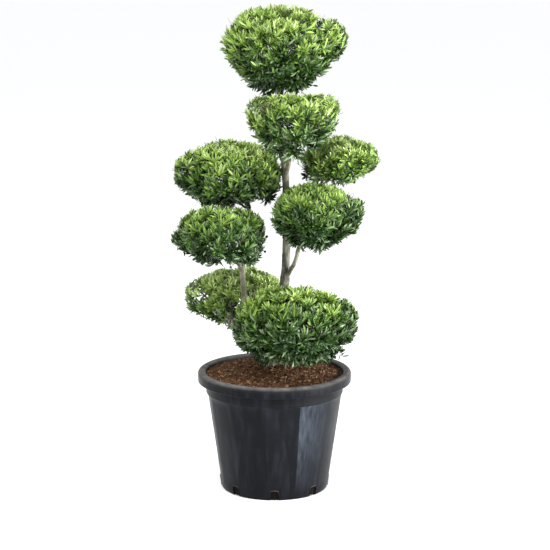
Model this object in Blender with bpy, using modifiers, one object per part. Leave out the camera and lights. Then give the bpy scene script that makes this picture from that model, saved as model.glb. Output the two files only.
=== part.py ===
# Potted Japanese holly (Ilex crenata) clipped as a cloud topiary: eight leaf pads on a trunk
# with its boughs, in a round nursery container filled with bark compost.
# Metres, +Z up. The origin is the middle of the container's flat underside, the front is -Y.

import math
from functools import lru_cache

import bmesh
import bpy
import numpy as np
from mathutils import Matrix, Vector

# Container
RIM_RADIUS = 0.200
POT_HEIGHT = 0.313
RIM_DEPTH = 0.028
BASE_RADIUS = 0.139
SHOULDER_RADIUS = 0.1785
SHOULDER_HEIGHT = 0.262
POT_WALL = 0.0025
TURN_STEPS = 36
DRAIN_COUNT = 8
DRAIN_WIDTH = 0.022
DRAIN_HEIGHT = 0.028

# Compost, mounded towards the trunk
SOIL_EDGE_HEIGHT = 0.294
SOIL_TOP_HEIGHT = 0.328
SOIL_SEAT_RADIUS = 0.034
SOIL_RINGS = 5

# Wood
TOUCH_GAP = 0.0003
TRUNK_SIDES = 10
BOUGH_SIDES = 8
LIMB_SAMPLE = 0.030

# Foliage
CORE_SHARE = 0.68
CORE_SIDES = 12
CORE_RINGS = 7
TWIG_TIP_SHARE = 0.84
TWIG_BOWS = 2
LEAF_TIP_SHARE = 1.05
TWIG_RADIUS = 0.0034
LEAF_LENGTH = 0.060
LEAF_WIDTH = 0.027
LEAF_THICKNESS = 0.0014
LEAF_ROOT = 0.0012
LEAVES_PER_TWIG = 4
LEAF_TRIES = 12
LEAF_STEP = 0.0055
LEAF_SPACING = 0.010
LIMB_CLEARANCE = 0.0015
CLOUD_GAP = 0.12
GOLDEN_ANGLE = math.pi * (3.0 - math.sqrt(5.0))

# Each limb is a route of (x, y, z, radius) from its foot to its tip, and a bough grows from a parent.
LIMBS = {
    "trunk": {
        "parent": None,
        "route": [
            (-0.0120, 0.000, SOIL_TOP_HEIGHT + TOUCH_GAP, 0.0250),
            (-0.0120, 0.000, 0.3350, 0.0205),
            (-0.0110, 0.000, 0.3500, 0.0170),
            (-0.0050, 0.000, 0.3800, 0.0148),
            (0.0100, 0.001, 0.4500, 0.0130),
            (0.0250, 0.004, 0.5300, 0.0118),
            (0.0300, 0.010, 0.6200, 0.0102),
            (0.0310, 0.013, 0.7200, 0.0094),
            (0.0290, 0.012, 0.8000, 0.0088),
            (0.0220, 0.010, 0.8800, 0.0078),
            (0.0150, 0.007, 0.9800, 0.0068),
            (0.0120, 0.005, 1.0330, 0.0062),
        ],
    },
    "left_stem": {
        "parent": "trunk",
        "route": [
            (-0.0080, 0.000, 0.3660, 0.0085),
            (-0.0300, -0.003, 0.4050, 0.0081),
            (-0.0560, -0.008, 0.4470, 0.0077),
            (-0.0745, -0.012, 0.4900, 0.0074),
            (-0.0810, -0.010, 0.5450, 0.0070),
            (-0.0815, -0.004, 0.5920, 0.0066),
            (-0.0740, 0.012, 0.6350, 0.0060),
            (-0.0640, 0.027, 0.6850, 0.0056),
            (-0.0655, 0.030, 0.7300, 0.0051),
            (-0.0700, 0.030, 0.7530, 0.0048),
        ],
    },
    "middle_left_bough": {
        "parent": "left_stem",
        "route": [
            (-0.0815, -0.006, 0.5720, 0.0056),
            (-0.0910, -0.023, 0.5950, 0.0052),
            (-0.1060, -0.050, 0.6250, 0.0046),
        ],
    },
    "low_left_bough": {
        "parent": "trunk",
        "route": [
            (-0.0120, 0.004, 0.3440, 0.0058),
            (-0.0350, 0.013, 0.3530, 0.0053),
            (-0.0600, 0.022, 0.3670, 0.0050),
            (-0.0920, 0.038, 0.3910, 0.0047),
            (-0.1170, 0.060, 0.4290, 0.0043),
        ],
    },
    "low_front_bough": {
        "parent": "trunk",
        "route": [
            (-0.0100, -0.002, 0.3500, 0.0076),
            (0.0040, -0.024, 0.3610, 0.0068),
            (0.0180, -0.052, 0.3730, 0.0062),
            (0.0300, -0.080, 0.3920, 0.0055),
        ],
    },
    "middle_right_bough": {
        "parent": "trunk",
        "route": [
            (0.0275, 0.006, 0.5510, 0.0063),
            (0.0400, -0.007, 0.5760, 0.0057),
            (0.0540, -0.026, 0.6080, 0.0053),
            (0.0670, -0.048, 0.6660, 0.0047),
        ],
    },
    "upper_right_bough": {
        "parent": "trunk",
        "route": [
            (0.0310, 0.013, 0.7140, 0.0058),
            (0.0560, 0.030, 0.7380, 0.0052),
            (0.0920, 0.048, 0.7630, 0.0048),
            (0.1290, 0.062, 0.7920, 0.0043),
        ],
    },
    "upper_centre_bough": {
        "parent": "trunk",
        "route": [
            (0.0280, 0.011, 0.8170, 0.0066),
            (0.0320, -0.006, 0.8380, 0.0061),
            (0.0360, -0.028, 0.8610, 0.0057),
            (0.0400, -0.055, 0.8950, 0.0050),
        ],
    },
}

# Each cloud stands on one limb. A lobe is its widest level's middle (x, y, z), the half widths
# there (rx, ry), and the reach above and below it (up, down). The dome's and the skirt's power
# say how full they are: 2 is an ellipse, less is closer to a cone, and more to a box.
CLOUDS = {
    "top_cloud": {
        "limb": "trunk",
        "twigs": 22,
        "powers": (2.10, 1.45),
        "lobes": [
            (0.012, 0.000, 1.153, 0.148, 0.132, 0.098, 0.133),
            (0.077, -0.012, 1.185, 0.058, 0.070, 0.050, 0.073),
            (0.138, 0.006, 1.170, 0.048, 0.062, 0.053, 0.070),
        ],
    },
    "upper_centre_cloud": {
        "limb": "upper_centre_bough",
        "twigs": 15,
        "powers": (2.30, 1.45),
        "lobes": [
            (0.045, -0.095, 0.975, 0.108, 0.090, 0.067, 0.106),
            (0.120, -0.090, 1.003, 0.046, 0.056, 0.037, 0.080),
            (-0.032, -0.098, 0.995, 0.043, 0.050, 0.041, 0.062),
        ],
    },
    "upper_left_cloud": {
        "limb": "left_stem",
        "twigs": 17,
        "powers": (2.20, 2.15),
        "lobes": [
            (-0.113, 0.030, 0.829, 0.129, 0.118, 0.082, 0.098),
            (-0.219, 0.026, 0.835, 0.042, 0.060, 0.041, 0.064),
            (-0.038, 0.020, 0.797, 0.050, 0.060, 0.035, 0.044),
        ],
    },
    "upper_right_cloud": {
        "limb": "upper_right_bough",
        "twigs": 15,
        "powers": (2.30, 1.50),
        "lobes": [
            (0.164, 0.070, 0.855, 0.093, 0.092, 0.061, 0.075),
            (0.231, 0.066, 0.857, 0.042, 0.058, 0.042, 0.046),
            (0.102, 0.060, 0.825, 0.034, 0.048, 0.032, 0.036),
        ],
    },
    "middle_left_cloud": {
        "limb": "middle_left_bough",
        "twigs": 14,
        "powers": (2.20, 2.10),
        "lobes": [
            (-0.130, -0.082, 0.690, 0.108, 0.100, 0.072, 0.088),
            (-0.219, -0.078, 0.677, 0.041, 0.058, 0.035, 0.042),
            (-0.062, -0.086, 0.654, 0.037, 0.052, 0.032, 0.046),
        ],
    },
    "middle_right_cloud": {
        "limb": "middle_right_bough",
        "twigs": 14,
        "powers": (2.30, 1.75),
        "lobes": [
            (0.097, -0.084, 0.741, 0.106, 0.098, 0.075, 0.098),
            (0.180, -0.080, 0.747, 0.047, 0.060, 0.038, 0.068),
        ],
    },
    "low_left_cloud": {
        "limb": "low_left_bough",
        "twigs": 15,
        "powers": (2.10, 2.30),
        "lobes": [
            (-0.095, 0.108, 0.497, 0.115, 0.100, 0.064, 0.101),
            (-0.189, 0.104, 0.494, 0.053, 0.062, 0.038, 0.056),
        ],
    },
    "low_front_cloud": {
        "limb": "low_front_bough",
        "twigs": 18,
        "powers": (2.30, 2.15),
        "lobes": [
            (0.047, -0.128, 0.468, 0.143, 0.104, 0.090, 0.102),
            (0.156, -0.122, 0.466, 0.057, 0.064, 0.063, 0.058),
            (-0.055, -0.125, 0.446, 0.052, 0.060, 0.058, 0.058),
            (0.118, -0.122, 0.410, 0.048, 0.060, 0.040, 0.046),
        ],
    },
}
LOBES = {name: [lobe + cloud["powers"] for lobe in cloud["lobes"]] for name, cloud in CLOUDS.items()}


def clear_scene():
    for obj in list(bpy.data.objects):
        bpy.data.objects.remove(obj, do_unlink=True)


def new_collection(name):
    collection = bpy.data.collections.new(name)
    bpy.context.scene.collection.children.link(collection)
    return collection


def make_material(name, color, roughness):
    material = bpy.data.materials.new(name)
    material.use_nodes = True
    shader = material.node_tree.nodes["Principled BSDF"]
    shader.inputs["Base Color"].default_value = (*color, 1.0)
    shader.inputs["Roughness"].default_value = roughness
    shader.inputs["Metallic"].default_value = 0.0
    return material


def add_object(name, mesh, collection, material=None):
    obj = bpy.data.objects.new(name, mesh)
    collection.objects.link(obj)
    if material is not None:
        mesh.materials.clear()
        mesh.materials.append(material)
    return obj


def evaluated_mesh(obj):
    bpy.context.view_layer.update()
    depsgraph = bpy.context.evaluated_depsgraph_get()
    return bpy.data.meshes.new_from_object(obj.evaluated_get(depsgraph))


def turned(name, profile, steps, collection, material):
    """A profile of (radius, height) points turned once round the Z axis."""
    mesh = bpy.data.meshes.new(name)
    points = [(radius, 0.0, height) for radius, height in profile]
    edges = [(i, i + 1) for i in range(len(points) - 1)]
    mesh.from_pydata(points, edges, [])
    obj = add_object(name, mesh, collection, material)
    screw = obj.modifiers.new("turn", 'SCREW')
    screw.axis = 'Z'
    screw.steps = steps
    screw.render_steps = steps
    screw.use_merge_vertices = True
    screw.merge_threshold = 0.00005
    return obj


def wall_radius(height):
    """Outer radius of the tapered container wall, below its shoulder."""
    return BASE_RADIUS + (SHOULDER_RADIUS - 0.002 - BASE_RADIUS) * height / SHOULDER_HEIGHT


def inner_wall():
    """Inner side of the container from its floor up to the height of the compost's edge."""
    below = SHOULDER_HEIGHT - 0.004
    return [
        (wall_radius(POT_WALL) - POT_WALL, POT_WALL),
        (wall_radius(below) - POT_WALL, below),
        (SHOULDER_RADIUS - POT_WALL, SHOULDER_HEIGHT),
        (SHOULDER_RADIUS - POT_WALL + 0.0008, SOIL_EDGE_HEIGHT),
    ]


def make_pot(collection, cutters):
    rim_bottom = POT_HEIGHT - RIM_DEPTH
    inner_top = SHOULDER_RADIUS + 0.001
    profile = [(0.0, POT_WALL)] + inner_wall() + [
        (inner_top, POT_HEIGHT - 0.003),
        (inner_top + 0.008, POT_HEIGHT - 0.0005),
        (RIM_RADIUS - 0.010, POT_HEIGHT),
        (RIM_RADIUS - 0.003, POT_HEIGHT - 0.003),
        (RIM_RADIUS, POT_HEIGHT - 0.009),
        (RIM_RADIUS, rim_bottom + 0.002),
        (RIM_RADIUS - 0.001, rim_bottom),
        (RIM_RADIUS - POT_WALL, rim_bottom),
        (RIM_RADIUS - POT_WALL, POT_HEIGHT - 0.008),
        (RIM_RADIUS - 0.006, POT_HEIGHT - POT_WALL - 0.0015),
        (inner_top + POT_WALL + 0.001, POT_HEIGHT - POT_WALL - 0.002),
        (inner_top + 0.0005, rim_bottom + 0.010),
        (SHOULDER_RADIUS + 0.0004, SHOULDER_HEIGHT + 0.001),
        (wall_radius(SHOULDER_HEIGHT - 0.002), SHOULDER_HEIGHT - 0.002),
        (wall_radius(0.003), 0.003),
        (BASE_RADIUS - 0.002, 0.0),
        (0.0, 0.0),
    ]
    pot = turned("pot", profile, TURN_STEPS, collection, MATERIALS["pot"])
    for i in range(DRAIN_COUNT):
        angle = 2.0 * math.pi * i / DRAIN_COUNT - math.pi / 2.0
        bpy.ops.mesh.primitive_cube_add(size=1.0)
        cutter = bpy.context.active_object
        cutter.name = f"drain_cutter_{i}"
        cutter.scale = (0.020, DRAIN_WIDTH, DRAIN_HEIGHT)
        cutter.rotation_euler = (0.0, 0.0, angle)
        cutter.location = (
            (BASE_RADIUS - 0.001) * math.cos(angle),
            (BASE_RADIUS - 0.001) * math.sin(angle),
            DRAIN_HEIGHT / 2.0 - 0.002,
        )
        for owner in list(cutter.users_collection):
            owner.objects.unlink(cutter)
        cutters.objects.link(cutter)
        hide_cutter(cutter)
    cut = pot.modifiers.new("drain_holes", 'BOOLEAN')
    cut.operation = 'DIFFERENCE'
    cut.operand_type = 'COLLECTION'
    cut.collection = cutters
    return pot


def hide_cutter(cutter):
    cutter.display_type = 'WIRE'
    cutter.hide_render = True


def soil_height(radius, edge_radius):
    """Height of the compost: flat under the trunk, then a cosine slope down to the wall."""
    if radius <= SOIL_SEAT_RADIUS:
        return SOIL_TOP_HEIGHT
    share = (radius - SOIL_SEAT_RADIUS) / (edge_radius - SOIL_SEAT_RADIUS)
    drop = SOIL_TOP_HEIGHT - SOIL_EDGE_HEIGHT
    return SOIL_EDGE_HEIGHT + drop * 0.5 * (1.0 + math.cos(math.pi * share))


def make_soil(collection):
    """The compost fills the container, a touch gap clear of its inner faces."""
    wall = [(radius - 1.5 * TOUCH_GAP, height) for radius, height in inner_wall()]
    edge_radius = wall[-1][0]
    floor = POT_WALL + TOUCH_GAP
    profile = [(0.0, SOIL_TOP_HEIGHT)]
    for i in range(SOIL_RINGS + 1):
        radius = SOIL_SEAT_RADIUS + (edge_radius - SOIL_SEAT_RADIUS) * i / SOIL_RINGS
        profile.append((radius, soil_height(radius, edge_radius)))
    profile += [wall[2], wall[1], (wall[0][0], floor), (0.0, floor)]
    return turned("compost", profile, TURN_STEPS, collection, MATERIALS["compost"])


def smooth_route(points, spacing):
    """Catmull-Rom curve through the route's points, the radius carried as a fourth coordinate."""
    points = np.array(points, dtype=float)
    ends = np.vstack([2 * points[0] - points[1], points, 2 * points[-1] - points[-2]])
    samples = []
    for i in range(1, len(ends) - 2):
        before, start, end, after = ends[i - 1], ends[i], ends[i + 1], ends[i + 2]
        length = np.linalg.norm(end[:3] - start[:3])
        steps = max(1, round(length / spacing))
        for t in np.arange(steps) / steps:
            samples.append(0.5 * (
                2 * start
                + (end - before) * t
                + (2 * before - 5 * start + 4 * end - after) * t ** 2
                + (3 * start - before - 3 * end + after) * t ** 3
            ))
    samples.append(points[-1])
    return np.array(samples)


def tube_mesh(name, route, sides):
    """A closed tube along (x, y, z, radius) samples: a curve swept with a regular polygon."""
    section = bpy.data.curves.new(name + "_section", 'CURVE')
    ring = section.splines.new('POLY')
    ring.points.add(sides - 1)
    for i, point in enumerate(ring.points):
        angle = 2.0 * math.pi * i / sides
        point.co = (math.cos(angle), math.sin(angle), 0.0, 1.0)
    ring.use_cyclic_u = True
    section_obj = bpy.data.objects.new(name + "_section", section)
    bpy.context.scene.collection.objects.link(section_obj)

    curve = bpy.data.curves.new(name, 'CURVE')
    curve.dimensions = '3D'
    curve.bevel_mode = 'OBJECT'
    curve.bevel_object = section_obj
    curve.use_fill_caps = True
    spline = curve.splines.new('POLY')
    spline.points.add(len(route) - 1)
    for point, (x, y, z, radius) in zip(spline.points, route):
        point.co = (x, y, z, 1.0)
        point.radius = radius
    curve_obj = bpy.data.objects.new(name, curve)
    bpy.context.scene.collection.objects.link(curve_obj)

    mesh = evaluated_mesh(curve_obj)
    for obj in (curve_obj, section_obj):
        bpy.data.objects.remove(obj, do_unlink=True)
    shape = bmesh.new()
    shape.from_mesh(mesh)
    bmesh.ops.remove_doubles(shape, verts=shape.verts, dist=0.00001)
    bmesh.ops.recalc_face_normals(shape, faces=shape.faces)
    shape.to_mesh(mesh)
    shape.free()
    return mesh


@lru_cache(maxsize=None)
def limb_route(name):
    return smooth_route(LIMBS[name]["route"], LIMB_SAMPLE)


def make_limb(name, collection, cutters):
    """A tapering limb; a bough's foot is cut to the parent's round side, a touch gap clear."""
    parent = LIMBS[name]["parent"]
    sides = TRUNK_SIDES if parent is None else BOUGH_SIDES
    limb = add_object(name, tube_mesh(name, limb_route(name), sides), collection, MATERIALS["bark"])
    if parent is not None:
        cutter_route = limb_route(parent) + np.array([0.0, 0.0, 0.0, TOUCH_GAP * 1.2])
        parent_sides = TRUNK_SIDES if LIMBS[parent]["parent"] is None else BOUGH_SIDES
        cutter = add_object(f"{name}_saddle", tube_mesh(f"{name}_saddle", cutter_route, parent_sides), cutters)
        hide_cutter(cutter)
        saddle = limb.modifiers.new("saddle", 'BOOLEAN')
        saddle.operation = 'DIFFERENCE'
        saddle.object = cutter
    limb.data.shade_smooth()
    limb.data.set_sharp_from_angle(angle=math.radians(50.0))
    return limb


def lobe_field(points, lobe):
    """Below 1 inside a lobe, 1 on its surface: a dome above the widest level, a rounded cone below."""
    points = np.atleast_2d(points)
    x, y, z, rx, ry, up, down, dome, skirt = lobe
    level = (points[:, 2] - z) / np.where(points[:, 2] > z, up, down)
    reach = np.hypot((points[:, 0] - x) / rx, (points[:, 1] - y) / ry)
    power = np.where(level > 0, dome, skirt)
    return (reach ** power + np.abs(level) ** power) ** (1.0 / power)


def cloud_field(points, lobes):
    return np.min([lobe_field(points, lobe) for lobe in lobes], axis=0)


def lobe_surface(lobe, directions, share):
    """Points of the lobe's surface, drawn in to a share of it, along unit directions."""
    centre = np.array(lobe[:3])
    rx, ry, up, down = lobe[3:7]
    scale = np.stack([
        np.full(len(directions), rx),
        np.full(len(directions), ry),
        np.where(directions[:, 2] > 0, up, down),
    ], axis=1)
    ahead = directions * scale
    return centre + ahead * (share / lobe_field(centre + ahead, lobe))[:, None]


def shell_targets(lobes, share, count, rng):
    """Evenly spread points on the cloud's shell: a golden-angle spiral on each lobe, jittered."""
    sizes = np.array([lobe[3] * lobe[4] for lobe in lobes])
    targets = []
    for lobe, part in zip(lobes, sizes / sizes.sum()):
        number = max(5, round(count * part))
        index = np.arange(number) + 0.5
        height = 1.0 - 2.0 * index / number
        turn = index * GOLDEN_ANGLE + rng.uniform(0.0, 2.0 * math.pi)
        ring = np.sqrt(1.0 - height ** 2)
        directions = np.stack([ring * np.cos(turn), ring * np.sin(turn), height], axis=1)
        directions += rng.normal(0.0, 0.35 / math.sqrt(number), directions.shape)
        directions /= np.linalg.norm(directions, axis=1)[:, None]
        points = lobe_surface(lobe, directions, share)
        others = [other for other in lobes if other is not lobe]
        if others:
            points = points[cloud_field(points, others) > share]
        targets.append(points)
    return np.vstack(targets)


def bowed(start, heading, end, steps):
    """A twig's middle line from start to end that leaves along its heading and then bends."""
    bend = start + heading * np.linalg.norm(end - start) * 0.45
    t = np.linspace(0.0, 1.0, steps + 1)[:, None]
    return (1 - t) ** 2 * start + 2 * t * (1 - t) * bend + t ** 2 * end


def limb_distance(points, name):
    """Clear distance from points to the side of a limb."""
    points = np.atleast_2d(points)
    route = limb_route(name)
    start, along = route[:-1], np.diff(route, axis=0)
    offset = points[:, None, :] - start[None, :, :3]
    length2 = np.sum(along[:, :3] ** 2, axis=1)
    t = np.clip(np.sum(offset * along[None, :, :3], axis=2) / length2, 0.0, 1.0)
    nearest = start[None, :, :3] + t[:, :, None] * along[None, :, :3]
    radius = start[None, :, 3] + t * along[None, :, 3]
    return np.min(np.linalg.norm(points[:, None, :] - nearest, axis=2) - radius, axis=1)


def is_free(points, lobes, share, margin):
    """True where points stay within a share of their cloud's reach, nearer to its middle than to
    another cloud's, and clear of every limb."""
    field = cloud_field(points, lobes)
    if np.any(field > share):
        return False
    for others in LOBES.values():
        if others is not lobes and np.any(cloud_field(points, others) < field + CLOUD_GAP):
            return False
    return all(np.min(limb_distance(points, name)) > margin for name in LIMBS)


def unit(vector):
    return vector / np.linalg.norm(vector)


def grow_twigs(name, rng):
    """Branching rule: a stem goes from the limb's tip to the cloud's hub, inner twigs fan out
    from it, and each outer twig leaves the nearest wood that lies further in."""
    cloud, lobes = CLOUDS[name], LOBES[name]
    route = limb_route(cloud["limb"])
    heading = unit(route[-1, :3] - route[-2, :3])
    foot = route[-1, :3] + heading * TOUCH_GAP
    centre = np.array(lobes[0][:3])
    hub = centre + (foot - centre) * 0.25
    stem = bowed(foot, heading, hub, 5)
    stem[1] = foot + heading * np.linalg.norm(stem[1] - foot)
    wood = [(stem, route[-1, 3], route[-1, 3] * 0.6)]
    rounds = ((0.45, cloud["twigs"] // 3, TWIG_RADIUS * 1.5), (TWIG_TIP_SHARE, cloud["twigs"], TWIG_RADIUS))
    for share, count, radius in rounds:
        nodes = np.vstack([line[2:] for line, _, _ in wood])
        headings = np.vstack([np.gradient(line, axis=0)[2:] for line, _, _ in wood])
        for target in shell_targets(lobes, share, count, rng):
            distance = np.linalg.norm(nodes - target, axis=1)
            nearest = int(np.argmin(distance + 0.4 * np.maximum(0.0, nodes[:, 2] - target[2])))
            lead = unit(unit(headings[nearest]) + 0.8 * unit(target - nodes[nearest]))
            line = bowed(nodes[nearest], lead, target, TWIG_BOWS)
            if is_free(line, lobes, 1.0, radius + LIMB_CLEARANCE):
                wood.append((line, radius, radius * 0.82))
    return wood


def leaf_mesh():
    """A leaf one unit long, wide and thick: root at the origin, tip at +X, widest before its middle."""
    shape = bmesh.new()
    bmesh.ops.create_uvsphere(shape, u_segments=4, v_segments=2, radius=0.5)
    for vertex in shape.verts:
        vertex.co.x += 0.5
        if 0.1 < vertex.co.x < 0.9:
            vertex.co.x = 0.42
    mesh = bpy.data.meshes.new("leaf")
    shape.to_mesh(mesh)
    shape.free()
    return mesh


def leaf_frame(root, ahead, roll, size):
    """Placement of a leaf from its root, its direction, its roll and its length."""
    up = np.array([0.0, 0.0, 1.0]) if abs(ahead[2]) < 0.9 else np.array([1.0, 0.0, 0.0])
    side = unit(np.cross(up, ahead))
    normal = np.cross(ahead, side)
    turned_side = side * math.cos(roll) + normal * math.sin(roll)
    turned_normal = np.cross(ahead, turned_side)
    width = LEAF_WIDTH * size / LEAF_LENGTH
    columns = (ahead * size, turned_side * width, turned_normal * LEAF_THICKNESS, root)
    matrix = Matrix.Identity(4)
    for i, column in enumerate(columns):
        for j in range(3):
            matrix[j][i] = column[j]
    return matrix


def twig_leaves(line, lobes, taken, rng):
    """Leaves of one outer twig: one goes on from its tip, the others stand round it. Each is
    turned and shortened until it stays between the core and the cloud's reach and clear of the
    leaves that are already there, or skipped."""
    ahead = unit(line[-1] - line[-2])
    side = unit(np.cross(ahead, [0.3, 0.1, 1.0]))
    turn = rng.uniform(0.0, 2.0 * math.pi)
    for i in range(LEAVES_PER_TWIG):
        place = line[-1] - ahead * (0.002 + LEAF_STEP * i)
        for attempt in range(LEAF_TRIES):
            angle = turn + i * 2.2 + attempt * 0.7
            outward = side * math.cos(angle) + np.cross(ahead, side) * math.sin(angle)
            lean = 0.15 + 0.15 * attempt if i == 0 else 1.2
            direction = unit(ahead + outward * lean + np.array([0.0, 0.0, 0.2]))
            root = place - direction * LEAF_ROOT
            size = LEAF_LENGTH * (1.0 - 0.11 * (attempt % 4))
            blade = np.linspace(root + direction * size * 0.25, root + direction * size, 4)
            over_core = np.min(cloud_field(blade, lobes)) > CORE_SHARE + 0.05
            crowd = np.linalg.norm(blade[:, None, :] - np.array(taken)[None, :, :], axis=2)
            if over_core and np.min(crowd) > LEAF_SPACING and is_free(blade, lobes, LEAF_TIP_SHARE, LEAF_WIDTH * 0.5):
                taken.extend(blade[1:])
                yield leaf_frame(root, direction, rng.uniform(-0.6, 0.6), size)
                break


def core_mesh(name, lobes):
    """The dense middle of a clipped cloud: a coarse ball whose points move out along their
    rays, up to the last place that lies within a share of the cloud's reach."""
    centre = np.array(lobes[0][:3])
    steps = np.linspace(0.0, 0.3, 151)[:, None]
    shape = bmesh.new()
    bmesh.ops.create_uvsphere(shape, u_segments=CORE_SIDES, v_segments=CORE_RINGS, radius=1.0)
    for vertex in shape.verts:
        ray = centre + np.array(vertex.co.normalized()) * steps
        inside = np.flatnonzero(cloud_field(ray, lobes) < CORE_SHARE)
        vertex.co = Vector(ray[inside[-1]])
    mesh = bpy.data.meshes.new(name)
    shape.to_mesh(mesh)
    shape.free()
    return mesh


def keep_largest_shell(mesh):
    """Drops loose scraps and the inner faces of sealed hollows."""
    shape = bmesh.new()
    shape.from_mesh(mesh)
    bmesh.ops.triangulate(shape, faces=shape.faces)
    left = set(shape.faces)
    shells = []
    while left:
        shell = []
        front = [left.pop()]
        while front:
            face = front.pop()
            shell.append(face)
            for edge in face.edges:
                for near in edge.link_faces:
                    if near in left:
                        left.remove(near)
                        front.append(near)
        volume = sum(face.verts[0].co.dot(face.verts[1].co.cross(face.verts[2].co)) for face in shell)
        shells.append((volume, shell))
    shells.sort(key=lambda item: item[0])
    waste = [face for _, shell in shells[:-1] for face in shell]
    bmesh.ops.delete(shape, geom=waste, context='FACES')
    shape.to_mesh(mesh)
    shape.free()


def make_cloud(name, seed, leaf, collection):
    """One foliage mass: stem, twigs, leaves and core, joined by one Boolean union."""
    lobes = LOBES[name]
    rng = np.random.default_rng(seed)
    pieces = new_collection(name + "_pieces")
    wood = grow_twigs(name, rng)
    taken = [wood[0][0][0]]
    for i, (line, start_radius, end_radius) in enumerate(wood):
        radii = np.linspace(start_radius, end_radius, len(line))
        sides = BOUGH_SIDES if i == 0 else 3
        mesh = tube_mesh(f"{name}_twig_{i}", np.column_stack([line, radii]), sides)
        if i == 0:
            mass = add_object(name, mesh, collection, MATERIALS["foliage"])
        else:
            add_object(f"{name}_twig_{i}", mesh, pieces, MATERIALS["foliage"])
        if radii[0] == TWIG_RADIUS:
            for j, frame in enumerate(twig_leaves(line, lobes, taken, rng)):
                blade = add_object(f"{name}_leaf_{i}_{j}", leaf, pieces)
                blade.matrix_world = frame
    add_object(name + "_core", core_mesh(name + "_core", lobes), pieces, MATERIALS["foliage"])
    union = mass.modifiers.new("join", 'BOOLEAN')
    union.operation = 'UNION'
    union.operand_type = 'COLLECTION'
    union.collection = pieces
    joined = evaluated_mesh(mass)
    mass.modifiers.clear()
    mass.data = joined
    for obj in list(pieces.objects):
        bpy.data.objects.remove(obj, do_unlink=True)
    bpy.data.collections.remove(pieces)
    keep_largest_shell(mass.data)
    mass.data.shade_flat()
    return mass


clear_scene()
MATERIALS = {
    "pot": make_material("pot", (0.016, 0.017, 0.019), 0.42),
    "compost": make_material("compost", (0.075, 0.040, 0.024), 0.95),
    "bark": make_material("bark", (0.27, 0.24, 0.19), 0.80),
    "foliage": make_material("foliage", (0.10, 0.24, 0.035), 0.50),
}
PARTS = new_collection("potted_japanese_holly")
CUTTERS = new_collection("cutters")
DRAIN_CUTTERS = new_collection("drain_cutters")
LEAF = leaf_mesh()
for cloud_seed, cloud_name in enumerate(CLOUDS, start=11):
    make_cloud(cloud_name, cloud_seed, LEAF, PARTS)
for limb_name in LIMBS:
    make_limb(limb_name, PARTS, CUTTERS)
make_pot(PARTS, DRAIN_CUTTERS)
make_soil(PARTS)
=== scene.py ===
# Potted Japanese holly clipped as a cloud topiary: the finish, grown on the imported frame.
import math

import bmesh
import bpy
import numpy as np
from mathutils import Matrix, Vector


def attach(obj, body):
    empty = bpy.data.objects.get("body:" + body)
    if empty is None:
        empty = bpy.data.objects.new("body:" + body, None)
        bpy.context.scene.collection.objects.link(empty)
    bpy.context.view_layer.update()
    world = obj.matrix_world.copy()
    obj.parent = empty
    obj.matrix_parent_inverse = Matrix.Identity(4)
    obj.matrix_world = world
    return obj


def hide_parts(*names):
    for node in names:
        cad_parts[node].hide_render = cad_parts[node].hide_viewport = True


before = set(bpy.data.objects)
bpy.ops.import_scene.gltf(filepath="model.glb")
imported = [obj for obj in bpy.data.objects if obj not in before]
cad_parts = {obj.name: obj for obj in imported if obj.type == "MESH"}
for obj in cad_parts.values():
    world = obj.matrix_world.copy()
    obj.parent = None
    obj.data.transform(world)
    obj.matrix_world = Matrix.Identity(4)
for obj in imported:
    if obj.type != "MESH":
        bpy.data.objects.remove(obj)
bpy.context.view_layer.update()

goldenAngle = math.pi * (3.0 - math.sqrt(5.0))
print("frame loaded:", len(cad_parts), "nodes")


# the plant's plan, in metres

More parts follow.
